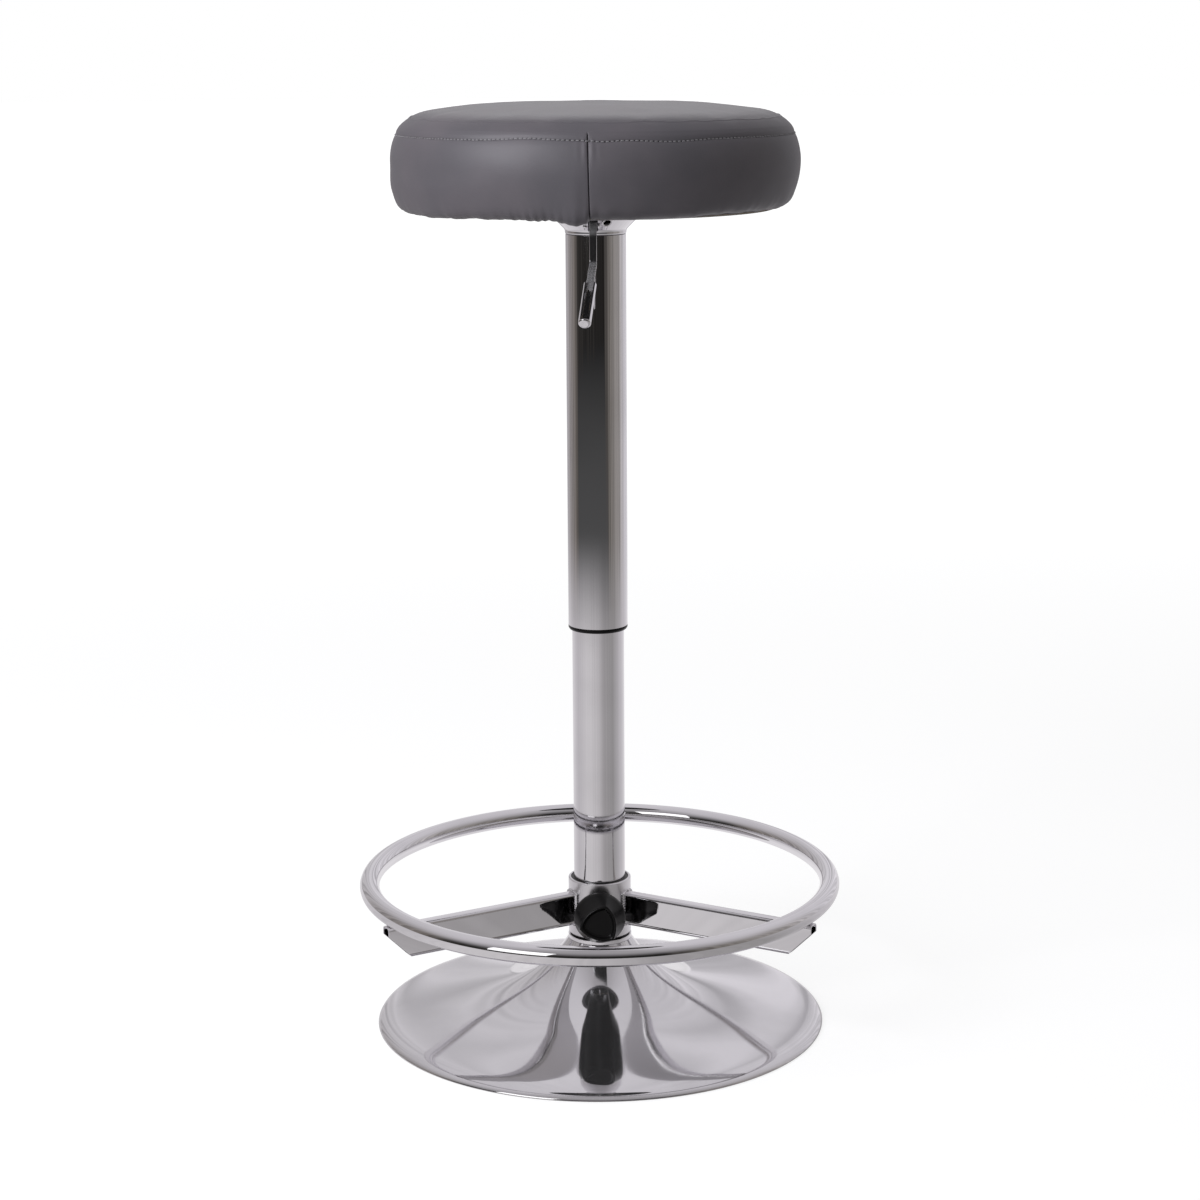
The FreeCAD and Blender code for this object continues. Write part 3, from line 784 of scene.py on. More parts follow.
RIM_TOP = 0.009
RIM_ROLL = 0.015
SHEET_DROP = 0.0013
INNER_FLARE_SHARES = ((0.0, 1.0), (0.132, 0.52), (0.305, 0.32), (0.511, 0.2))
OUTER_FLARE_SHARES = ((0.511, 0.2), (0.718, 0.08), (0.914, 0.04), (1.0, 0.0))
RIM_ROLL_SHARES = ((0.0, 1.0), (0.53, 0.8), (0.87, 0.63), (1.0, 0.15))
FLARE_STEPS = 26
ROLL_STEPS = 10
SOCKET_BORE = COLUMN_RADIUS + CLOSE_FIT
SHELL_INSET = 0.0011
COLUMN_WALL = 0.0022
FOOT_TAPER = 0.0007


def base_outline(inset, drop):
    """Rings of the base from its neck to its rim."""
    width = BASE_RADIUS - RIM_ROLL - NECK_RADIUS
    height = NECK_TOP - RIM_TOP
    rings = []
    for shares in (INNER_FLARE_SHARES, OUTER_FLARE_SHARES):
        poles = [(NECK_RADIUS + width * across, RIM_TOP + height * up) for across, up in shares]
        rings.extend(bezier(poles, FLARE_STEPS))
    roll = [(BASE_RADIUS - RIM_ROLL * (1 - across), RIM_TOP * up) for across, up in RIM_ROLL_SHARES]
    rings.extend(bezier(roll, ROLL_STEPS))
    rings.insert(0, (NECK_RADIUS, NECK_TOP))
    return [(radius - inset, z - drop) for radius, z in rings]


def make_trumpet():
    sheet = bpy.context.scene.stool_metal.sheet
    outer = base_outline(0.0, 0.0)
    inner = base_outline(sheet, SHEET_DROP)
    lip = [(outer[-1][0], BASE_LIFT), (inner[-1][0], BASE_LIFT)]
    inner = [ring for ring in inner if ring[1] > BASE_LIFT]
    rings = outer + lip + inner[::-1] + [(NECK_RADIUS - sheet, NECK_TOP), outer[0]]
    piece = turned("trumpet_base", rings, 256)
    smooth(piece, 50)
    hand_over(piece, "plating_spun", "base", "chrome", "base_shell")


def make_socket():
    neck = NECK_RADIUS - SHELL_INSET
    corners = (
        (SOCKET_BORE, SOCKET_TOP), (NECK_RADIUS, SOCKET_TOP), (NECK_RADIUS, NECK_TOP),
        (neck, NECK_TOP), (neck, SOCKET_BOTTOM), (SOCKET_BORE, SOCKET_BOTTOM),
    )
    turned_part("neck_socket", corners, 0.0006, "plating_drawn", "base", "chrome", "base_socket")


def make_lower_column():
    bore = COLUMN_RADIUS - COLUMN_WALL
    corners = (
        (bore, COLUMN_TOP), (COLUMN_RADIUS, COLUMN_TOP), (COLUMN_RADIUS, NECK_TOP),
        (COLUMN_RADIUS - FOOT_TAPER, COLUMN_BOTTOM), (bore, COLUMN_BOTTOM),
    )
    turned_part("lower_column", corners, 0.0005, "plating_drawn", "base", "chrome", "stand_tube")


class STOOL_OT_base(Step, bpy.types.Operator):
    """Makes the trumpet base, its socket and the lower column"""

    bl_idname = "stool.base"
    bl_label = "Base and lower column"
    makers = (make_trumpet, make_socket, make_lower_column)


# Upper column and bell

COVER_WALL = 0.0012
COVER_BORE = COVER_RADIUS - COVER_WALL
END_RING_BORE = COLUMN_RADIUS + 0.0004
BELL_WALL = 0.002
BELL_LIP = 0.004
LIP_ROUND = 0.0018
LEVER_SLOT = 0.009
LEVER_OFFSET = 0.0024
HOLE_ACROSS = 0.0105
HOLE_RADIUS = 0.0034
HOLE_RIM = 0.0053
DRILL_INWARD = 0.012
DRILL_OUTWARD = 0.006
RIM_STEPS = 40


def make_upper_column():
    corners = (
        (COVER_BORE, COVER_TOP), (COVER_RADIUS, COVER_TOP),
        (COVER_RADIUS, COVER_BOTTOM), (COVER_BORE, COVER_BOTTOM),
    )
    turned_part("upper_column", corners, 0.0004, "plating_drawn", "seat", "chrome", "cover_tube")


def make_end_ring():
    bore = END_RING_BORE
    slope = COVER_RADIUS - bore
    corners = (
        (bore, END_RING_BOTTOM), (COVER_RADIUS - slope * 0.4, END_RING_BOTTOM),
        (COVER_RADIUS, END_RING_BOTTOM + slope * 0.6), (COVER_RADIUS, COVER_BOTTOM),
        (COVER_BORE, COVER_BOTTOM), (COVER_BORE, END_RING_TOP), (bore, END_RING_TOP),
    )
    turned_part(
        "column_end_ring", corners, 0.0003, "black_moulding", "seat", "black_plastic", "cover_ring",
    )


def make_bell():
    """The casting under the seat: a flared ring with the lever's slot and a rimmed hole."""
    lip_radius = COVER_RADIUS + 0.0004
    lip_top = COVER_TOP + BELL_LIP
    bore = COVER_BORE - BELL_WALL
    top_bore = BELL_RADIUS - BELL_WALL * math.sqrt(2)
    corners = (
        (bore, BELL_BOTTOM), (COVER_BORE, BELL_BOTTOM),
        (COVER_BORE, COVER_TOP), (lip_radius, COVER_TOP, LIP_ROUND),
        (lip_radius, lip_top, LIP_ROUND),
        (BELL_RADIUS, BELL_TOP), (top_bore, BELL_TOP), (bore, BELL_TOP - (top_bore - bore)),
    )
    piece = turned("seat_bell", with_fillets(corners, 0.0005), 160)
    middle_radius = (lip_radius + BELL_RADIUS) / 2
    depth = math.sqrt(middle_radius ** 2 - HOLE_ACROSS ** 2)
    centre = Vector((HOLE_ACROSS, -depth, (lip_top + BELL_TOP) / 2))
    outward = Vector((HOLE_ACROSS, -depth, -middle_radius)).normalized()
    ends = (centre - outward * DRILL_INWARD, centre + outward * DRILL_OUTWARD)
    cut_away(piece, rod("hole_drill", HOLE_RADIUS, *ends, RIM_STEPS))
    left = -LEVER_OFFSET - LEVER_SLOT / 2
    right = left + LEVER_SLOT
    low, high = (left, -BELL_RADIUS - 0.01, lip_top), (right, 0.0, BELL_TOP + 0.01)
    cut_away(piece, block("slot_mill", low, high))
    rim = make_hole_rim(centre, outward)
    # The lumps of the casting beside the slot: place across, out and up, then the half sizes
    lumps = [
        ball("cast_lump", (across, -lip_radius - out, lip_top + rise), size, 24, 14)
        for across, out, rise, size in (
            (right + 0.0010, 0.0060, 0.0062, (0.0016, 0.0026, 0.0036)),
            (left - 0.0024, 0.0036, 0.0046, (0.0026, 0.0012, 0.0014)),
        )
    ]
    piece = join("seat_bell", [piece, rim, *lumps])
    crisp(piece, 35)
    hand_over(piece, "plating_cast", "seat", "chrome", "bell")


def make_hole_rim(centre, outward):
    """The raised round edge of the hole in the bell."""
    side = outward.orthogonal().normalized()
    up = outward.cross(side)
    thick = (HOLE_RIM - HOLE_RADIUS) / 2
    middle = (HOLE_RIM + HOLE_RADIUS) / 2
    frames = []
    for step in range(RIM_STEPS + 1):
        turn = 2 * math.pi * step / RIM_STEPS
        spoke = side * math.cos(turn) + up * math.sin(turn)
        frames.append((centre + spoke * middle + outward * thick * 0.3, spoke, outward))
    return laid_along("hole_rim", 16, frames, round_outline(thick), closed=True)


class STOOL_OT_upper_column(Step, bpy.types.Operator):
    """Makes the sliding upper column, its end ring and the bell under the seat"""

    bl_idname = "stool.upper_column"
    bl_label = "Upper column and bell"
    makers = (make_upper_column, make_end_ring, make_bell)


# Release lever

LEVER_WIDTH = 0.0068
LEVER_THICK = 0.005
LEVER_INNER = 0.006
LEVER_EYE = 0.005
KNEE_REACH = 0.044
ELBOW_REACH = 0.054
ELBOW_DROP = 0.036
GRIP_TILT = math.radians(38)
GRIP_TURN = math.radians(7.5)
SHANK = 0.039
GRIP_RADIUS = 0.0059
GRIP_LENGTH = 0.052
GRIP_OVERLAP = 0.012
GRIP_POINT = 0.007
GRIP_EDGE = 0.0024
BAR_ROUND = 0.0011
KNEE_BEND = 0.013
ELBOW_BEND = 0.003
BEND_STEPS = 10


def grip_direction():
    flat = math.cos(GRIP_TILT)
    return Vector((-flat * math.sin(GRIP_TURN), -flat * math.cos(GRIP_TURN), -math.sin(GRIP_TILT)))


def lever_corners():
    axis_z = LEVER_PIVOT.z
    inner = Vector((-LEVER_OFFSET, LEVER_INNER, axis_z))
    knee = Vector((-LEVER_OFFSET, -KNEE_REACH, axis_z))
    elbow = Vector((-LEVER_OFFSET, -ELBOW_REACH, axis_z - ELBOW_DROP))
    return inner, knee, elbow, elbow + grip_direction() * SHANK


def bent_path(corners, bends, steps):
    """A path through the corners, with a round bend at each one between its ends."""
    path = [corners[0]]
    for before, corner, after, radius in zip(corners, corners[1:], corners[2:], bends):
        path.extend(bend(corner, before, after, radius, steps))
    return path + [corners[-1]]


def path_frames(path):
    frames = []
    for index, place in enumerate(path):
        before = path[max(index - 1, 0)]
        after = path[min(index + 1, len(path) - 1)]
        along = (after - before).normalized()
        side = along.cross(UP).normalized()
        frames.append((place, side, side.cross(along)))
    return frames


def make_lever_bar():
    """The flat bar with its eye. Its end runs on below the fork, beside the tongue."""
    inner, knee, elbow, end = lever_corners()
    end = end + grip_direction() * GRIP_POINT
    path = bent_path((inner, knee, elbow, end), (KNEE_BEND, ELBOW_BEND), BEND_STEPS)
    section = flat_bar_outline(LEVER_WIDTH, LEVER_THICK, BAR_ROUND, 4)
    bar = laid_along("lever_flat_bar", len(section), path_frames(path), listed_outline(section))
    pivot = Vector((-LEVER_OFFSET, LEVER_PIVOT.y, LEVER_PIVOT.z))
    half = Vector((LEVER_WIDTH / 2, 0, 0))
    eye = rod("lever_eye", LEVER_EYE, pivot - half, pivot + half, 40)
    bar = join("lever_flat_bar", [bar, eye])
    crisp(bar, 35)
    hand_over(bar, "worn_bar", "lever", "chrome", "lever_bar")


def make_lever_grip():
    """The round grip: a fork that holds the bar, and an end with a soft edge."""
    direction = grip_direction()
    start = lever_corners()[2] + direction * (SHANK - GRIP_OVERLAP)
    side = direction.cross(UP).normalized()
    up = side.cross(direction)
    point = GRIP_OVERLAP + GRIP_POINT + 0.0005
    stations = [0.0, 0.0006, 0.006, GRIP_OVERLAP, point, GRIP_LENGTH - GRIP_EDGE]
    radii = [GRIP_RADIUS - 0.0006] + [GRIP_RADIUS] * 5
    for step in range(1, 6):
        turn = math.pi / 2 * step / 5
        stations.append(GRIP_LENGTH - GRIP_EDGE * (1 - math.sin(turn)))
        radii.append(GRIP_RADIUS - GRIP_EDGE * (1 - math.cos(turn)))
    frames = [(start + direction * station, side, up) for station in stations]
    grip = laid_along(
        "lever_round_grip", 64, frames,
        lambda angle, ring: (radii[ring] * math.cos(angle), radii[ring] * math.sin(angle)),
    )
    cut_away(grip, fork_cutter(start, direction, side, up))
    crisp(grip, 35)
    hand_over(grip, "plating_drawn", "lever", "chrome", "lever_grip")


def fork_cutter(start, direction, side, up):
    """A wedge-ended slot through the grip, so that a tongue is left between the horns."""
    cutter = shape("fork_cutter", bpy.ops.mesh.primitive_cube_add, size=1)
    start_edit(cutter)
    bpy.ops.mesh.bisect(plane_co=(0, 0, 0), plane_no=(1, 0, 0))
    end_edit()
    for vertex in cutter.data.vertices:
        x, y, z = vertex.co
        if z < 0:
            along = -0.004
        else:
            along = GRIP_OVERLAP + (GRIP_POINT if abs(x) >= 0.1 else 0)
        out = side * (x * LEVER_WIDTH) + up * (y * GRIP_RADIUS * 3)
        vertex.co = start + out + direction * along
    return clean(cutter)


class STOOL_OT_lever(Step, bpy.types.Operator):
    """Makes the release lever: a bent flat bar with a round grip"""

    bl_idname = "stool.lever"
    bl_label = "Release lever"
    makers = (make_lever_bar, make_lever_grip)


# Foot ring

ARM_NAMES = ("back", "left", "right")
FIRST_ARM_TURN = 90.0
ARM_WALL = 0.0015
ARM_LIP = 0.0085
ARM_ROUND = 0.0046
RING_STEPS = 240
LINER_WALL = 0.003
LINER_BORE = COLUMN_RADIUS + CLOSE_FIT
LINER_FLANGE_THICK = 0.0015
COLLAR_EDGE = 0.0008
# How deep the arms are let into the collar, and how far from it their hollow starts
ARM_SINK = 0.0012
ARM_SOLID = 0.12
ARM_BEVEL = 0.0003
# How far the drops of a weld stand off, and how many lie on one side
WELD_OUT = 0.0003
COLLAR_DROPS = 12
RING_DROPS = 6


def make_ring_tube():
    frames = []
    for step in range(RING_STEPS + 1):
        turn = 2 * math.pi * step / RING_STEPS
        spoke = Vector((math.cos(turn), math.sin(turn), 0))
        frames.append((spoke * RING_RADIUS + UP * RING_HEIGHT, spoke, UP))
    piece = laid_along("foot_ring_hoop", 40, frames, round_outline(RING_TUBE), closed=True)
    smooth(piece)
    hand_over(piece, "plating_ring", "foot_ring", "chrome", "foot_ring_tube")


def arm_section(inset):
    height = ARM_TOP - ARM_LOW - 2 * inset
    return flat_bar_outline(2 * (ARM_HALF - inset), height, ARM_ROUND - inset, 7)


def arm_bar(name, inset, inner_end, outer_end):
    """An upright flat bar along X at the height of the arms."""
    side = Vector((0, 1, 0))
    frames = [(Vector((reach, 0, ARM_MIDDLE)), side, UP) for reach in (inner_end, outer_end)]
    section = arm_section(inset)
    return laid_along(name, len(section), frames, listed_outline(section))


def make_arm(side_name, turn):
    """One arm: a flat tube from the collar to the ring, cut off at a slant."""
    arm = arm_bar(f"arm_tube_{side_name}", 0.0, COLLAR_RADIUS - ARM_SINK, ARM_REACH + 0.002)
    start_edit(arm)
    for height, slant in ((0, 0), (ARM_TOP - ARM_LIP, -1)):
        bpy.ops.mesh.select_all(action="SELECT")
        bpy.ops.mesh.bisect(
            plane_co=(ARM_REACH, 0, height), plane_no=(1, 0, slant), clear_outer=True,
            use_fill=True,
        )
    end_edit()
    hollow_start = COLLAR_RADIUS + ARM_SOLID
    cut_away(arm, arm_bar("arm_hollow", ARM_WALL, hollow_start, ARM_REACH + 0.01))
    add_modifier(
        arm, "BEVEL", width=ARM_BEVEL, segments=2, limit_method="ANGLE",
        angle_limit=math.radians(60), harden_normals=False,
    )
    turn_round(arm, turn)
    crisp(arm, 35)
    hand_over(arm, "plating_drawn", "foot_ring", "chrome", f"foot_arm_{side_name}")


def make_collar():
    bore = LINER_BORE + LINER_WALL + CLOSE_FIT
    inner = COLLAR_RADIUS - COLLAR_EDGE
    corners = (
        (bore, COLLAR_BOTTOM), (inner, COLLAR_BOTTOM), (COLLAR_RADIUS, COLLAR_BOTTOM + COLLAR_EDGE),
        (COLLAR_RADIUS, COLLAR_TOP - COLLAR_EDGE), (inner, COLLAR_TOP), (bore, COLLAR_TOP),
    )
    turned_part(
        "clamp_collar", corners, 0.00035, "plating_brushed", "foot_ring", "chrome", "foot_collar",
    )


def make_liner():
    outer = LINER_BORE + LINER_WALL
    flange = LINER_BOTTOM + LINER_FLANGE_THICK
    corners = (
        (LINER_BORE, LINER_BOTTOM), (LINER_FLANGE, LINER_BOTTOM), (LINER_FLANGE, flange),
        (outer, flange), (outer, LINER_TOP), (LINER_BORE, LINER_TOP),
    )
    turned_part(
        "collar_liner", corners, 0.0003, "black_moulding", "foot_slider", "black_plastic",
        "foot_liner",
    )


def weld_drop(place, size, *mark):
    """One drop of a weld, with few faces, a little larger or smaller than its neighbours."""
    size = size * (1 + 0.3 * noise.noise(Vector(mark)))
    return ball("bead", place, (size, size * 1.1, size * 1.2), 12, 8)


def finish_weld(name, turn, drops):
    weld = join(name, drops)
    turn_round(weld, turn)
    smooth(weld, 80)
    hand_over(weld, "plating_weld", "foot_ring", "chrome")


def make_collar_weld(side_name, turn):
    """A row of weld drops where an arm meets the collar."""
    drops = []
    for index, (across, rise) in enumerate(arm_section(0.0)):
        out = math.sqrt(COLLAR_RADIUS ** 2 - across ** 2) + WELD_OUT
        place = (out, across, ARM_MIDDLE + rise)
        drops.append(weld_drop(place, 0.0013, index * 0.9, turn, 0.3))
    out = math.sqrt(COLLAR_RADIUS ** 2 - ARM_HALF ** 2) + WELD_OUT
    for side in (-1, 1):
        for index in range(COLLAR_DROPS):
            share = index / (COLLAR_DROPS - 1)
            rise = (ARM_TOP - ARM_LOW) * (0.06 + 0.88 * share)
            place = (out, side * (ARM_HALF + 0.0005), ARM_LOW + rise)
            drops.append(weld_drop(place, 0.0014 + 0.0010 * share, index * 1.3, turn, side))
    finish_weld(f"collar_weld_{side_name}", turn, drops)


def make_ring_weld(side_name, turn):
    """Weld drops on both sides of the place where an arm carries the ring."""
    drops = []
    for side in (-1, 1):
        for index in range(RING_DROPS):
            angle = math.pi * (1.14 + 0.34 * index / (RING_DROPS - 1))
            reach = RING_RADIUS + RING_TUBE * math.cos(angle)
            height = max(RING_HEIGHT + RING_TUBE * math.sin(angle), ARM_TOP)
            place = (reach, side * (ARM_HALF - 0.0022), height)
            drops.append(weld_drop(place, 0.0010, index * 1.1, turn, side))
    finish_weld(f"ring_weld_{side_name}", turn, drops)


def make_arms():
    for index, side_name in enumerate(ARM_NAMES):
        turn = FIRST_ARM_TURN + 360 * index / len(ARM_NAMES)
        make_arm(side_name, turn)
        make_collar_weld(side_name, turn)
        make_ring_weld(side_name, turn)


class STOOL_OT_foot_ring(Step, bpy.types.Operator):
    """Makes the foot ring: hoop, three arms, collar, liner and welds"""

    bl_idname = "stool.foot_ring"
    bl_label = "Foot ring"
    makers = (make_ring_tube, make_collar, make_liner, make_arms)


# Clamp knob

KNOB_HUB = 0.013
KNOB_BACK_RADIUS = 0.021
KNOB_HUB_LENGTH = 0.004
KNOB_BACK_DEPTH = 0.0035
KNOB_BAND = 0.005
KNOB_FACE_RADIUS = 0.0202
KNOB_FLAT_SHARE = 0.78
KNOB_RIM = 0.0042
KNOB_DISH = 0.0034
KNOB_EDGE = 0.0016
KNOB_BORE = 0.004
KNOB_SHARPNESS = 60.0
KNOB_REACH_SHARE = 0.99


def lobed_radius(angle, turn, lobes):
    """The reach of a rounded lobed outline whose corners reach about 1."""
    half = math.pi / lobes
    away = (angle - turn) % (2 * half) - half
    flat = KNOB_FLAT_SHARE
    shift = (1 - flat * flat) / (2 * (flat - math.cos(half)))
    radius = flat + shift
    reach = math.sqrt(radius ** 2 - (shift * math.sin(away)) ** 2) - shift * math.cos(away)
    both = sum(math.exp(-KNOB_SHARPNESS * limit) for limit in (reach, KNOB_REACH_SHARE))
    return -math.log(both) / KNOB_SHARPNESS


def make_knob():
    """The knob: round at the back, a dished rounded triangle at the front."""
    settings = bpy.context.scene.stool_knob
    back = KNOB_BACK + KNOB_HUB_LENGTH
    band = back + KNOB_BACK_DEPTH
    flank = band + KNOB_BAND
    face = KNOB_FACE_RADIUS
    # Radius, depth and share of the lobed outline in the round one
    stations = [
        (KNOB_BORE, KNOB_BACK, 0), (KNOB_HUB - 0.0004, KNOB_BACK, 0),
        (KNOB_HUB, KNOB_BACK + 0.0004, 0), (KNOB_HUB, back, 0), (KNOB_BACK_RADIUS, back, 0),
        (KNOB_BACK_RADIUS + 0.0006, back + 0.0003, 0), (KNOB_RADIUS - 0.0006, band, 0),
        (KNOB_RADIUS, band + 0.0008, 0), (KNOB_RADIUS, flank - 0.0008, 0),
        (KNOB_RADIUS - 0.0002, flank - 0.0002, 0),
    ]
    for step in range(1, 15):
        t = step / 15
        radius = KNOB_RADIUS + (face - KNOB_RADIUS) * t
        stations.append((radius, flank + (KNOB_FACE - KNOB_EDGE - flank) * t, t))
    for step in range(6):
        turn = math.pi / 2 * step / 5
        out = face - KNOB_EDGE * (1 - math.cos(turn))
        depth = KNOB_FACE - KNOB_EDGE * (1 - math.sin(turn))
        stations.append((out, depth, 0.97 if step == 0 else 1))
    for step in range(1, 13):
        t = step / 12
        fall = KNOB_DISH * 0.5 * (1 - math.cos(math.pi * t))
        stations.append((face - KNOB_EDGE - KNOB_RIM * t, KNOB_FACE - fall, 1))
    for radius, fall, share in ((face * 0.45, 0.98, 1), (face * 0.2, 0.97, 0.5), (0.0004, 0.96, 0)):
        stations.append((radius, KNOB_FACE - KNOB_DISH * fall, share))
    across = Vector((1, 0, 0))
    frames = [(Vector((0, -y, CLAMP_PLACE.z)), across, UP) for _, y, _ in stations]

    def outline(angle, ring):
        radius, _, share = stations[ring]
        reach = radius * (1 - share + share * lobed_radius(angle, settings.turn, settings.lobes))
        return reach * math.cos(angle), reach * math.sin(angle)

    piece = laid_along("clamp_hand_knob", 144, frames, outline)
    smooth(piece, 50)
    hand_over(piece, "black_moulding", "clamp", "black_plastic", "clamp_knob")


class STOOL_OT_knob(Step, bpy.types.Operator):
    """Makes the three-sided clamp knob"""

    bl_idname = "stool.knob"
    bl_label = "Clamp knob"
    makers = (make_knob,)


# Seat cushion

SEAM_INSET = 0.009
CORNER_WIDTH = 0.0205
CORNER_HEIGHT = 0.0115
BULGE_SHARE = 0.52
CROWN_SHARES = (
    (0.25, 0.99), (0.495, 0.964), (0.66, 0.872), (0.826, 0.7), (0.934, 0.445), (1.0, 0.0),
)
UPPER_SIDE_SHARE = 0.24
LOWER_SIDE_SHARE = 0.09
SIDE_FOOT_SHARE = 0.333
CORNER_ACROSS_SHARE = 0.56
CORNER_UP_SHARE = 0.29
HEM_INSET = 0.0355
HEM_WIDTH = 0.015
SEAM_RADIUS = SEAT_RADIUS - SEAM_INSET
HEM_OUTER = SEAT_RADIUS - HEM_INSET
HEM_INNER = HEM_OUTER - HEM_WIDTH
SKIN = 0.0012
SEAT_FACETS = 480
BAND_SEAM_TURN = -math.pi / 2 - 0.0315
BAND_SEAM_LEAN = 0.009
BAND_SEAM_END = 0.085
CROWN_SINK = 0.0009
HEM_START = 0.105
HEM_GAP = 0.0007
TOP_VARIETY = 0.35
BAND_VARIETY = 0.7
STITCH_LENGTH = 0.0029
STITCH_RADIUS = 0.00048
STITCH_LIFT = 0.0003
CLOTH_SQUARES = 90
CLOTH_THICK = 0.0004
CLOTH_WAVE = 0.00035
CLOTH_EDGE = 0.002
# Where the row of stitches strays: place across from the upright seam, rise and width
STITCH_WAVES = ((-0.055, 0.0019, 0.030), (0.014, -0.0011, 0.012), (0.078, -0.0018, 0.028))
# Folds beside the upright seam: depth, place across, width, and where they set in down the band
SEAM_FOLDS = (
    (-0.0006, -0.012, 0.010, 0.02, 0.06), (0.0003, -0.005, 0.004, 0.03, 0.06),
    (-0.0002, 0.010, 0.006, 0.002, 0.03),
)
CROWD_REACH = 0.16
CROWD_SHARE = 0.93
CUT_SLACK = 0.0022
CUT_SINK = 0.0018
SWELL_FRAMES = 20
CLOTH_SETTINGS = {
    "vertex_group_mass": "held", "use_pressure": True, "uniform_pressure_force": 4.0,
    "tension_stiffness": 40.0, "compression_stiffness": 40.0, "shear_stiffness": 20.0,
    "bending_stiffness": 5.0, "quality": 5,
}


def crown_points():
    """The top from its middle to the seam."""
    rise = SEAT_TOP - SEAM_HEIGHT
    knots = [(SEAM_RADIUS * across, SEAM_HEIGHT + rise * up) for across, up in CROWN_SHARES]
    points = [(0.0, SEAT_TOP)]
    points += arc((0.0, SEAT_TOP), knots[0], knots[1], 24)
    points += arc(knots[1], knots[2], knots[3], 20)
    points += arc(knots[3], knots[4], knots[5], 24)
    return points


def side_points():
    """The band from the seam to the hem under the board."""
    low_radius = SEAT_RADIUS - CORNER_WIDTH
    side_radius = SEAT_RADIUS - CORNER_WIDTH * SIDE_FOOT_SHARE
    side_z = SEAT_LOW + CORNER_HEIGHT
    bulge_z = side_z + (SEAM_HEIGHT - side_z) * BULGE_SHARE
    upper = (SEAT_RADIUS - SEAM_INSET * UPPER_SIDE_SHARE, (bulge_z + SEAM_HEIGHT) / 2)
    lower = (SEAT_RADIUS - CORNER_WIDTH * LOWER_SIDE_SHARE, (bulge_z + side_z) / 2)
    corner = (
        SEAT_RADIUS - CORNER_WIDTH * CORNER_ACROSS_SHARE,
        SEAT_LOW + CORNER_HEIGHT * CORNER_UP_SHARE,
    )
    start = (SEAM_RADIUS, SEAM_HEIGHT)
    points = [start]
    points += arc(start, upper, (SEAT_RADIUS, bulge_z), 40)
    points += arc((SEAT_RADIUS, bulge_z), lower, (side_radius, side_z), 30)
    points += arc((side_radius, side_z), corner, (low_radius, SEAT_LOW), 20)
    hem_z = BOARD_BOTTOM - SKIN
    for step in range(1, 7):
        t = step / 6
        radius = low_radius + (HEM_OUTER - low_radius) * t
        points.append((radius, SEAT_LOW + (hem_z - SEAT_LOW) * t))
    points.append((HEM_INNER, hem_z))
    return points


def graded(points, fine_at, fine, coarse, reach):
    """Rings along an outline, close together where its length from the start is near fine_at."""
    lengths = [0.0]
    for before, after in zip(points, points[1:]):
        lengths.append(lengths[-1] + math.dist(before, after))
    total = lengths[-1]
    stations = [0.0]
    while stations[-1] < total:
        near = min(abs(stations[-1] - mark) for mark in fine_at)
        blend = min(near / reach, 1.0)
        stations.append(stations[-1] + fine + (coarse - fine) * blend)
    stations[-1] = total
    rings = []
    index = 0
    for station in stations:
        while index < len(lengths) - 2 and lengths[index + 1] < station:
            index += 1
        t = (station - lengths[index]) / (lengths[index + 1] - lengths[index])
        start, end = points[index], points[index + 1]
        rings.append((start[0] + (end[0] - start[0]) * t, start[1] + (end[1] - start[1]) * t))
    return rings, stations


def crowd_round(angle):
    """Moves the columns of the band closer together beside its upright seam."""
    away = half_turn(angle - BAND_SEAM_TURN)
    pull = CROWD_SHARE * CROWD_REACH * math.tanh(away / CROWD_REACH) * (1 - (away / math.pi) ** 2)
    return BAND_SEAM_TURN + away - pull


def soft_step(value, low, high):
    t = min(max((value - low) / (high - low), 0.0), 1.0)
    return t * t * (3 - 2 * t)


def hollow(distance, width):
    return math.exp(-(distance / width) ** 2)


def seam_away(angle, length=0.0):
    """The way round the band from its upright seam, which leans a little."""
    lean = BAND_SEAM_LEAN * (min(length / BAND_SEAM_END, 1.0) ** 0.6 - 0.5)
    return half_turn(angle - BAND_SEAM_TURN - lean) * SEAT_RADIUS


def stitch_wander(angle):
    """How far the row of topstitches strays upwards, by the way round from the upright seam."""
    across = seam_away(angle)
    return sum(rise * hollow(across - place, width) for place, rise, width in STITCH_WAVES)


def sewn_depth(length, angle, settings):
    """How far the sewing draws the band in, by the way down from the seam and the angle."""
    across = seam_away(angle, length)
    drop = settings.stitch_drop - stitch_wander(angle)
    stitch = math.cos(angle * stitch_count(settings))
    depth = 0.00035 * hollow(length - drop, 0.0009) * (1.0 + 0.9 * stitch)
    depth += 0.0003 * hollow(length - drop, 0.0035)
    depth -= 0.0003 * hollow(length - drop / 2, 0.0022)
    full = soft_step(length, 0.0, 0.003) * (1 - soft_step(length, 0.088, 0.1))
    depth += settings.seam_depth * hollow(across, 0.00038) * full
    depth += 0.0002 * hollow(across, 0.0022) * full
    for rise, place, width, start, end in SEAM_FOLDS:
        depth += rise * hollow(across - place, width) * soft_step(length, start, end)
    near_top = soft_step(length, 0.004, 0.010) * (1 - soft_step(length, 0.016, 0.034))
    depth += 0.00025 * math.sin(across * 900 + 1.0) * hollow(across, 0.009) * near_top
    return depth


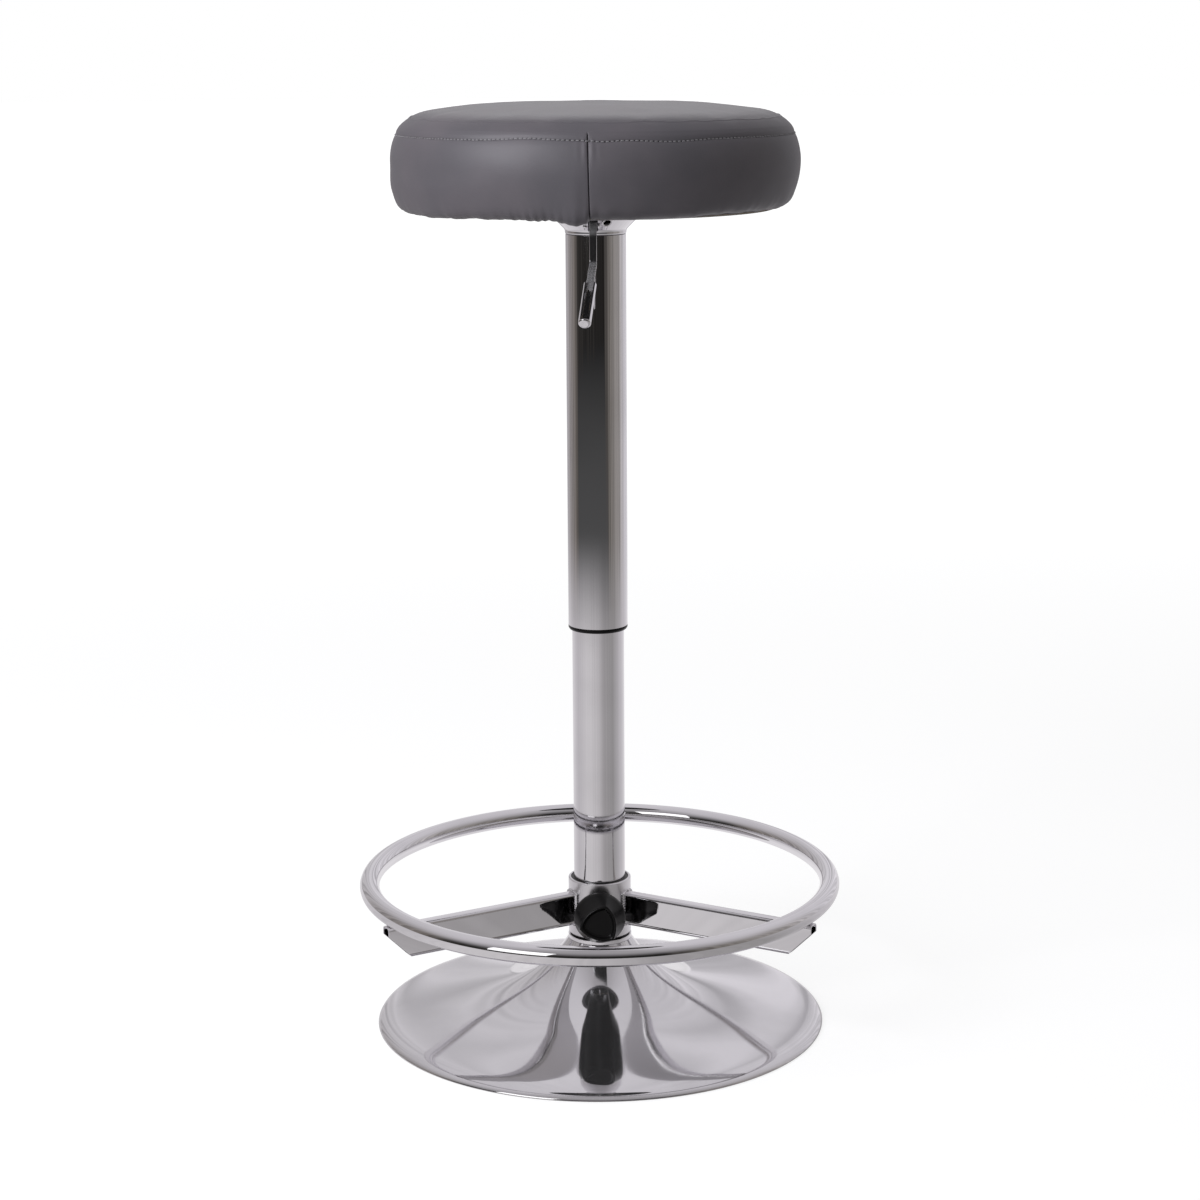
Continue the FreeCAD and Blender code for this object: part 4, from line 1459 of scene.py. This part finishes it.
def hang(angle, length):
    """How far the lower edge hangs below its cut height, by the angle."""
    near = soft_step(length, 0.045, 0.083)
    side = math.cos(angle)
    lift = 0.0032 * soft_step(side, -0.15, 0.9) + 0.0009 * soft_step(-side, 0.1, 0.6)
    across = seam_away(angle, length)
    right = soft_step(across, -0.004, 0.001)
    dip = 0.0026 * hollow(across + 0.013, 0.011) * (1 - right)
    lift += 0.0030 * hollow(across - 0.006, 0.022) * right
    return near * (dip - lift)


def fullness(angle, length):
    """How much further the pad swells at its lower edge on one side."""
    low = soft_step(length, 0.035, 0.060) * (1 - soft_step(length, 0.075, 0.095))
    return 0.0030 * soft_step(-math.cos(angle), 0.4, 0.95) * low


def gathers(length, angle):
    """Uneven tucks round the bottom edge, where the cover is drawn under the board."""
    tuck = noise.noise(Vector((math.cos(angle) * 9, math.sin(angle) * 9, 0.5)))
    fine = noise.noise(Vector((math.cos(angle) * 26, math.sin(angle) * 26, 2.5)))
    puckers = math.sin(angle * 150) * hollow(seam_away(angle, length) + 0.05, 0.035)
    near = soft_step(length, 0.060, 0.084)
    return (0.0014 * tuck + 0.0008 * fine + 0.0006 * puckers) * near


def softness(place):
    """Slow unevenness of the padding."""
    return 0.0007 * noise.noise(place * 14) + 0.0004 * noise.noise(place * 33 + Vector((3, 1, 2)))


def from_seam(radius, height):
    return math.hypot(radius - SEAM_RADIUS, height - SEAM_HEIGHT)


def swollen_form():
    """The whole pad, blown up as cloth from a slightly smaller cut between its held seams."""
    rings, _ = graded(crown_points()[:0:-1], (0.0,), 0.005, 0.008, 0.03)
    lower, _ = graded(side_points(), (0.0,), 0.005, 0.007, 0.03)
    cut = {}
    for radius, height in rings[:-1][::-1] + lower:
        loose = soft_step(from_seam(radius, height), 0.0, 0.03)
        if height > SEAM_HEIGHT:
            slack = (radius - CUT_SLACK * loose, height - CUT_SINK * loose)
        else:
            loose *= soft_step(radius, HEM_OUTER - 0.01, HEM_OUTER + 0.02)
            slack = (radius - CUT_SLACK * loose, height)
        cut[slack] = (radius, height)
    slack = list(cut)
    rings = [(0.002, slack[0][1])] + slack + [(0.002, slack[-1][1])]
    form = turned("swollen_form", rings, 144)
    start_edit(form)
    bpy.ops.mesh.edge_face_add()
    end_edit()
    start = [vertex.co.copy() for vertex in form.data.vertices]
    held = form.vertex_groups.new(name="held")
    for vertex in form.data.vertices:
        radius, height = radius_of(vertex.co), vertex.co.z
        under = height < BOARD_BOTTOM + 0.001 and radius < HEM_OUTER + 0.012
        on_seam = abs(seam_away(angle_of(vertex.co))) < 0.006 and height < SEAM_HEIGHT
        tight = from_seam(radius, height) < 0.004 or under
        held.add([vertex.index], 1.0 if tight else (0.9 if on_seam else 0.0), "REPLACE")
    modifier = form.modifiers.new("Cloth", "CLOTH")
    for name, value in CLOTH_SETTINGS.items():
        setattr(modifier.settings, name, value)
    modifier.settings.effector_weights.gravity = 0.0
    scene = bpy.context.scene
    scene.frame_start = 1
    scene.frame_end = SWELL_FRAMES
    for number in range(1, SWELL_FRAMES + 1):
        scene.frame_set(number)
    pick(form)
    bpy.ops.object.modifier_apply(modifier=modifier.name)
    scene.frame_set(1)
    relax(form, start, cut)
    add_modifier(form, "SUBSURF", levels=2, render_levels=2)
    return form


def relax(form, start, cut):
    """Puts the swollen form on its outline and keeps only how it varies round each ring."""
    limit = bpy.context.scene.stool_seat.swell
    rings = {}
    for vertex, place in zip(form.data.vertices, start):
        key = (round(radius_of(place), 4), round(place.z, 4))
        rings.setdefault(key, []).append((vertex, place))
    for slack, (radius, height) in cut.items():
        members = rings.get((round(slack[0], 4), round(slack[1], 4)), [])
        reach = [radius_of(vertex.co) for vertex, _ in members]
        level = [vertex.co.z for vertex, _ in members]
        share = TOP_VARIETY if height > SEAM_HEIGHT else BAND_VARIETY
        for (vertex, place), out, rise in zip(members, reach, level):
            spoke = Vector((place.x, place.y, 0)).normalized()
            stray = [
                share * min(max(value - sum(row) / len(row), -limit), limit)
                for value, row in ((out, reach), (rise, level))
            ]
            vertex.co = spoke * (radius + stray[0]) + UP * (height + stray[1])


def follow_form(piece, form):
    """Lays a piece's outer skin on the swollen form."""
    if form is None:
        return
    skin = piece.vertex_groups.new(name="skin")
    for vertex in piece.data.vertices:
        radius, height = radius_of(vertex.co), vertex.co.z
        under = soft_step(radius, HEM_OUTER, HEM_OUTER + 0.012) if height < BOARD_TOP else 1.0
        weight = under * soft_step(from_seam(radius, height), 0.0, 0.006)
        skin.add([vertex.index], weight, "REPLACE")
    add_modifier(
        piece, "SHRINKWRAP", target=form, wrap_method="NEAREST_SURFACEPOINT", vertex_group="skin",
    )


def band_rings(settings):
    """The rings of the band, close together at its seam and its stitches."""
    return graded(side_points(), (0.0, settings.stitch_drop), 0.0005, 0.0035, 0.012)


def make_band(form):
    """The side of the cover: drawn in at its seams, puffed between them and tucked under."""
    settings = bpy.context.scene.stool_seat
    rings, stations = band_rings(settings)
    inner = [
        (HEM_INNER, BOARD_BOTTOM), (SEAM_RADIUS - 0.02, BOARD_BOTTOM),
        (SEAM_RADIUS - 0.02, SEAM_HEIGHT - 0.008), (SEAM_RADIUS - 0.004, SEAM_HEIGHT - 0.0030),
    ]
    band = turned("seat_band", rings + inner + rings[:1], SEAT_FACETS)
    hidden = {(round(radius, 5), round(height, 5)) for radius, height in inner}
    rows = {}
    keys = []
    for vertex in band.data.vertices:
        radius = radius_of(vertex.co)
        angle = crowd_round(angle_of(vertex.co))
        vertex.co = (radius * math.cos(angle), radius * math.sin(angle), vertex.co.z)
        key = (round(radius_of(vertex.co), 5), round(vertex.co.z, 5))
        keys.append(key)
        if key not in rows:
            nearest = min(range(len(rings)), key=lambda index: math.dist(rings[index], key))
            rows[key] = stations[nearest]
    follow_form(band, form)
    normals = [vertex.normal.copy() for vertex in band.data.vertices]
    for vertex, normal, key in zip(band.data.vertices, normals, keys):
        if key in hidden:
            continue
        length = rows[key]
        angle = angle_of(vertex.co)
        loose = soft_step(length, 0.012, 0.03) * (1 - soft_step(length, 0.088, 0.1))
        out = gathers(length, angle) * (1 - soft_step(length, 0.096, 0.12))
        out += fullness(angle, length) + softness(vertex.co) * loose
        vertex.co = vertex.co + normal * (out - sewn_depth(length, angle, settings))
        if length < HEM_START:
            vertex.co.z -= hang(angle, length)
        if length > 0.06 and radius_of(vertex.co) < BOARD_RADIUS + 0.001:
            vertex.co.z = min(vertex.co.z, BOARD_BOTTOM - HEM_GAP)
    band.data.update()
    stray = band.data.attributes.new("stitch_wander", "FLOAT", "POINT")
    for vertex in band.data.vertices:
        stray.data[vertex.index].value = stitch_wander(angle_of(vertex.co))
    smooth(band, 70)
    hand_over(band, "sewn_leather_painted_hole_shade", "seat", "grey_leather", "seat_side_band")
    return band


def make_top(form):
    """The top of the cover, crowned and drawn in at its seam."""
    rings, _ = graded(crown_points()[:0:-1], (0.0,), 0.0006, 0.0045, 0.02)
    edge = [
        (POLE, SEAM_HEIGHT - 0.006), (0.01, SEAM_HEIGHT - 0.006),
        (SEAM_RADIUS - 0.02, SEAM_HEIGHT - 0.006), (SEAM_RADIUS - 0.0035, SEAM_HEIGHT - 0.0022),
    ]
    top = turned("seat_top", edge + rings + [(POLE, SEAT_TOP)], SEAT_FACETS)
    follow_form(top, form)
    normals = [vertex.normal.copy() for vertex in top.data.vertices]
    for vertex, normal in zip(top.data.vertices, normals):
        if vertex.co.z < SEAM_HEIGHT - 0.0015:
            continue
        away = from_seam(radius_of(vertex.co), vertex.co.z)
        out = softness(vertex.co) * soft_step(away, 0.01, 0.05)
        vertex.co = vertex.co + normal * (out - CROWN_SINK * soft_step(away, 0.002, 0.03))
    top.data.update()
    smooth(top, 70)
    hand_over(top, "grey_faux_leather", "seat", "grey_leather", "seat_top_panel", "seat_foam")


def stitch_count(settings):
    return round(2 * math.pi * SEAM_RADIUS / settings.stitch_pitch)


def stitch_ring(settings):
    """Radius and height of the row of topstitches."""
    rings, stations = band_rings(settings)
    drop = settings.stitch_drop
    return rings[min(range(len(rings)), key=lambda index: abs(stations[index] - drop))]


def stitch_shape():
    """One stitch, a short thread that dips at both ends."""
    stitch = shape(
        "stitch", bpy.ops.mesh.primitive_cylinder_add, vertices=8, radius=STITCH_RADIUS,
        depth=STITCH_LENGTH, rotation=(0, math.pi / 2, 0),
    )
    start_edit(stitch)
    for share in (-0.3, 0.0, 0.3):
        bpy.ops.mesh.select_all(action="SELECT")
        bpy.ops.mesh.bisect(plane_co=(share * STITCH_LENGTH, 0, 0), plane_no=(1, 0, 0))
    end_edit()
    for vertex in stitch.data.vertices:
        share = 2 * vertex.co.x / STITCH_LENGTH
        vertex.co.y -= 0.0005 * share ** 2
        vertex.co.y *= 1 - 0.3 * share ** 2
        vertex.co.z *= 1 - 0.4 * share ** 2
    return stitch


def make_stitching(band):
    """The row of topstitches below the seam."""
    settings = bpy.context.scene.stool_seat
    count = stitch_count(settings)
    radius, height = stitch_ring(settings)
    model = stitch_shape()
    stitches = []
    for index in range(count):
        turn = 2 * math.pi * (index + 0.5) / count
        outward = Vector((math.cos(turn), math.sin(turn), 0.0))
        spot = outward * radius + UP * (height + stitch_wander(turn))
        _, place, normal, _ = band.closest_point_on_mesh(spot)
        lean = 0.05 * noise.noise(Vector((index * 0.7, 0.2, 0.1)))
        along = (UP.cross(outward) + UP * lean).normalized()
        up = along.cross(normal).normalized()
        out = up.cross(along).normalized()
        matrix = Matrix((along, out, up)).transposed().to_4x4()
        matrix.translation = place + out * STITCH_LIFT
        stitch = model.copy()
        stitch.data = model.data.copy()
        bpy.context.scene.collection.objects.link(stitch)
        stitch.data.transform(matrix)
        stitches.append(stitch)
    bpy.data.objects.remove(model)
    piece = clean(join("seat_topstitching", stitches))
    smooth(piece, 60)
    hand_over(piece, "twisted_thread", "seat", "grey_leather")


def make_dust_cloth():
    """The thin cloth under the board, cut out round the seat plate and a little slack."""
    half = PLATE_HALF + CLOTH_EDGE
    size = 2 * CLOTH_RADIUS
    sheet = shape(
        "dust_cloth_sheet", bpy.ops.mesh.primitive_grid_add, x_subdivisions=CLOTH_SQUARES,
        y_subdivisions=CLOTH_SQUARES, size=size,
    )
    start_edit(sheet)
    bpy.ops.mesh.select_all(action="DESELECT")
    end_edit()
    for face in sheet.data.polygons:
        x, y, _ = face.center
        face.select = max(abs(x), abs(y)) < half
    bpy.ops.object.mode_set(mode="EDIT")
    bpy.ops.mesh.select_mode(type="FACE")
    bpy.ops.mesh.delete(type="FACE")
    bpy.ops.mesh.select_mode(type="VERT")
    end_edit()
    middle = (CLOTH_LOW + CLOTH_TOP) / 2
    for vertex in sheet.data.vertices:
        x, y, _ = vertex.co
        square = max(abs(x), abs(y))
        reach = math.hypot(x, y)
        share = (square - half) / (CLOTH_RADIUS - half) if square > half else 0.0
        flat = Vector((x, y, 0))
        round_place = flat * (square / reach) if reach else flat
        blended = flat.lerp(round_place, soft_step(share, 0.0, 1.0))
        wave = noise.noise(Vector((x * 40, y * 40, 0.7)))
        vertex.co = (blended.x, blended.y, middle + CLOTH_WAVE * wave)
    add_modifier(sheet, "SOLIDIFY", thickness=CLOTH_THICK, offset=0.0)
    smooth(sheet, 60)
    hand_over(sheet, "nonwoven_cloth", "seat", "black_cloth", "dust_cloth")


def make_cushion():
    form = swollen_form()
    band = make_band(form)
    make_top(form)
    make_stitching(band)
    make_dust_cloth()
    if form:
        bpy.data.objects.remove(form)


class STOOL_OT_seat(Step, bpy.types.Operator):
    """Makes the padded seat: top, band, topstitching and the cloth underneath"""

    bl_idname = "stool.seat"
    bl_label = "Padded seat"
    makers = (make_cushion,)


# Parts that stay as they are packed

PLAIN_FINISHES = {
    "zinc_steel": (
        "column_foot", "thrust_washer_lower", "thrust_balls", "thrust_washer_upper", "rod_clip",
        "piston", "rod_guide", "release_pin", "lift_hub", "lever_pivot", "seat_bolts",
        "seat_washers", "tee_nuts", "clamp_stud",
    ),
    "primed_iron": ("ballast_plate",),
    "black_rubber": ("floor_ring", "rod_bumper"),
    "black_moulding": ("guide_bush",),
    "gloss_paint": ("pressure_tube", "seat_plate"),
    "birch_plywood": ("seat_board",),
    "plating_drawn": ("piston_rod", "clamp_boss"),
}


def finish_packed_parts():
    for finish, nodes in PLAIN_FINISHES.items():
        for node in nodes:
            set_finish(frame["nodes"][node], finish)


class STOOL_OT_packed_parts(Step, bpy.types.Operator):
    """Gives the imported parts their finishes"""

    bl_idname = "stool.packed_parts"
    bl_label = "Finishes of the packed parts"
    makers = (finish_packed_parts,)


# Studio

# What shiny metal mirrors, by the way round the stool: 0 behind it, 0.5 in front of it
FAR_STOPS = (
    (0.00, (0.78, 0.76, 0.79)),
    (0.14, (0.34, 0.32, 0.32)),
    (0.25, (0.19, 0.17, 0.155)),
    (0.30, (0.030, 0.028, 0.026)),
    (0.58, (0.016, 0.015, 0.014)),
    (0.65, (0.19, 0.175, 0.16)),
    (0.77, (0.35, 0.33, 0.32)),
    (0.86, (0.66, 0.64, 0.67)),
)
NEAR_STOPS = (
    (0.00, (0.88, 0.86, 0.88)),
    (0.22, (0.58, 0.56, 0.58)),
    (0.38, (0.70, 0.68, 0.69)),
    (0.45, (0.62, 0.60, 0.61)),
    (0.50, (0.58, 0.56, 0.57)),
    (0.56, (0.40, 0.385, 0.39)),
    (0.68, (0.34, 0.33, 0.33)),
    (0.80, (0.57, 0.55, 0.57)),
    (0.96, (0.86, 0.84, 0.86)),
)
OVERHEAD_STOPS = (
    (0.00, (0.70, 0.68, 0.71)),
    (0.25, (0.62, 0.60, 0.63)),
    (0.42, (0.40, 0.385, 0.40)),
    (0.58, (0.40, 0.385, 0.40)),
    (0.75, (0.62, 0.60, 0.63)),
    (1.00, (0.70, 0.68, 0.71)),
)
HAZE = 0.08
COOL = (0.95, 0.945, 1.0)
PLAIN = (1.0, 1.0, 1.0)
BACK_POWER_SHARE = 0.14
CAMERA_PLACE = (0.002, -2.470, 0.9524)
CAMERA_PITCH = 0.2112
CAMERA_ROLL = -0.0060
CAMERA_LENS = 78.78


def studio_glow(shader, place, spread, streaks=0.0):
    """What shiny metal sees in a direction round the stool."""
    x = shader.add("ShaderNodeSeparateXYZ", None, {0: place}, output="X")
    turn = x.maths("ARCTAN2", x, 0.0 - x.other("Y"))
    colour = shader.ramp(turn / (2 * math.pi) + 0.5, spread)
    flat = shader.vector("MULTIPLY", {0: place, 1: (1, 1, 0)})
    direction = shader.vector("NORMALIZE", {0: flat})
    wander = shader.noise(direction, 15.0, detail=2.0) - 0.5
    return shader.vector("SCALE", {0: colour, "Scale": wander * streaks + 1.0})


def make_floor():
    settings = bpy.context.scene.stool_studio
    floor = circle("studio_floor", 64, settings.floor_radius, fill="NGON")
    start_edit(floor)
    bpy.ops.mesh.inset(thickness=settings.floor_radius * 0.9)
    end_edit()
    material = bpy.data.materials.new("studio_floor")
    material.use_nodes = True
    shader = Shader(material.node_tree)
    rays = shader.add("ShaderNodeLightPath", output="Is Camera Ray")
    place = shader.here()
    distance = shader.vector("LENGTH", {0: place}, "Value")
    far = studio_glow(shader, place, FAR_STOPS, 2.6)
    haze = shader.vector("SCALE", {0: grey(HAZE), "Scale": 1.0 - distance.rising(2.3, 7.5)})
    far = shader.vector("MAXIMUM", {0: far, 1: haze})
    near = studio_glow(shader, place, NEAR_STOPS, 0.3)
    seen = shader.mix(distance.rising(1.5, 2.7), near, far)
    reflected = shader.add("ShaderNodeEmission", None, {"Color": seen, "Strength": 1.0})
    paper = shader.add("ShaderNodeBsdfDiffuse", None, {"Color": grey(0.35)})
    level = rays * (distance.rising(1.2, 5.5) * 0.22 + 0.78)
    lift = shader.add("ShaderNodeEmission", None, {"Color": grey(1.0), "Strength": level})
    lit = shader.add("ShaderNodeAddShader", None, {0: paper, 1: lift})
    parts = {0: rays.other("Is Glossy Ray"), 1: lit, 2: reflected}
    both = shader.add("ShaderNodeMixShader", None, parts)
    shader.add("ShaderNodeOutputMaterial", None, {"Surface": both})
    floor.data.materials.append(material)


def make_world():
    world = bpy.data.worlds.new("studio")
    world.use_nodes = True
    bpy.context.scene.world = world
    shader = Shader(world.node_tree)

    def glow(colour, strength):
        return shader.add("ShaderNodeBackground", None, {"Color": colour, "Strength": strength})

    def either(factor, first, second):
        return shader.add("ShaderNodeMixShader", None, {0: factor, 1: first, 2: second})

    rays = shader.add("ShaderNodeLightPath", output="Is Camera Ray")
    direction = shader.add("ShaderNodeTexCoord", output="Generated")
    height = shader.add("ShaderNodeSeparateXYZ", None, {0: direction}, output="Z")
    far = studio_glow(shader, direction, FAR_STOPS, 1.6)
    overhead = studio_glow(shader, direction, OVERHEAD_STOPS)
    soft = glow((0.98, 0.98, 1.0), bpy.context.scene.stool_studio.fill_level)
    shiny = glow(shader.mix(height.rising(0.15, 0.95), far, overhead), 1.0)
    lit = either(rays.other("Is Glossy Ray"), soft, shiny)
    seen_white = (rays + rays.other("Is Transmission Ray")).within(0.0, 1.0)
    both = either(seen_white, lit, glow(grey(1.0), 1.0))
    shader.add("ShaderNodeOutputWorld", None, {"Surface": both})


def link_light(lamps, state, pieces):
    """Makes lamps skip the given pieces, or light nothing but them."""
    chosen = bpy.data.collections.new("lamp_pieces")
    for piece in pieces:
        chosen.objects.link(piece)
    for entry in chosen.collection_objects:
        entry.light_linking.link_state = state
    for lamp in lamps:
        lamp.light_linking.receiver_collection = chosen


def is_plated(piece):
    if piece.type != "MESH" or not piece.data.materials:
        return False
    return piece.data.materials[0].name.startswith("plating")


def add_lamp(name, place, aim, width, height, power, colour):
    bpy.ops.object.select_all(action="DESELECT")
    bpy.ops.object.light_add(type="AREA", location=place)
    lamp = bpy.context.object
    lamp.name = name
    lamp.data.shape = "RECTANGLE"
    lamp.data.size = width
    lamp.data.size_y = height
    lamp.data.energy = power
    lamp.data.color = colour
    look = Vector((0, 0, aim)) - Vector(place)
    lamp.rotation_euler = look.to_track_quat("-Z", "Y").to_euler()
    return lamp


def make_lamps():
    settings = bpy.context.scene.stool_studio
    power = settings.key_power
    key = add_lamp("key_lamp", (-2.2, -1.8, 1.9), 0.7, 1.9, 1.9, power, COOL)
    back = add_lamp("back_lamp", (0.1, 2.6, 2.6), 0.6, 1.8, 1.2, power * BACK_POWER_SHARE, PLAIN)
    plated = [piece for piece in bpy.context.scene.objects if is_plated(piece)]
    link_light([key, back], "EXCLUDE", plated)
    window = add_lamp("window", (-1.72, -2.27, 1.3), 0.3, 1.5, 1.5, settings.window_power, PLAIN)
    link_light([window], "INCLUDE", plated)


def make_camera():
    bpy.ops.object.select_all(action="DESELECT")
    bpy.ops.object.camera_add(location=CAMERA_PLACE)
    camera = bpy.context.object
    camera.name = "photo_view"
    camera.data.sensor_width = 36.0
    camera.data.lens = CAMERA_LENS
    tilt = Matrix.Rotation(math.pi / 2 - CAMERA_PITCH, 4, "X")
    roll = Matrix.Rotation(CAMERA_ROLL, 4, "Z")
    camera.matrix_world = Matrix.Translation(CAMERA_PLACE) @ tilt @ roll
    bpy.context.scene.camera = camera
    bpy.context.scene.view_settings.view_transform = "Standard"


class STOOL_OT_studio(Step, bpy.types.Operator):
    """Sets up the floor, the lamps, the surroundings and the camera"""

    bl_idname = "stool.studio"
    bl_label = "Studio"
    makers = (make_floor, make_world, make_lamps, make_camera)


class STOOL_PT_panel(bpy.types.Panel):
    """Settings and steps of the stool"""

    bl_idname = "STOOL_PT_panel"
    bl_label = "Bar stool"
    bl_space_type = "VIEW_3D"
    bl_region_type = "UI"
    bl_category = "Stool"

    def draw(self, context):
        layout = self.layout
        for group in ("stool_seat", "stool_metal", "stool_knob", "stool_studio"):
            settings = getattr(context.scene, group)
            column = layout.column()
            for name in settings.__annotations__:
                column.prop(settings, name)
        for step in STEPS:
            layout.operator(step.bl_idname)


SETTINGS = {
    "stool_seat": SeatSettings,
    "stool_metal": MetalSettings,
    "stool_knob": KnobSettings,
    "stool_studio": StudioSettings,
}
STEPS = (
    STOOL_OT_packed_parts,
    STOOL_OT_base,
    STOOL_OT_upper_column,
    STOOL_OT_lever,
    STOOL_OT_foot_ring,
    STOOL_OT_knob,
    STOOL_OT_seat,
    STOOL_OT_studio,
)


def register():
    for group in (*SETTINGS.values(), *STEPS, STOOL_PT_panel):
        bpy.utils.register_class(group)
    for name, group in SETTINGS.items():
        setattr(bpy.types.Scene, name, PointerProperty(type=group))


def unregister():
    for name in SETTINGS:
        delattr(bpy.types.Scene, name)
    for group in (STOOL_PT_panel, *STEPS, *SETTINGS.values()):
        bpy.utils.unregister_class(group)


def main():
    register()
    for step in STEPS:
        group, name = step.bl_idname.split(".")
        getattr(getattr(bpy.ops, group), name)()


if __name__ == "__main__":
    main()
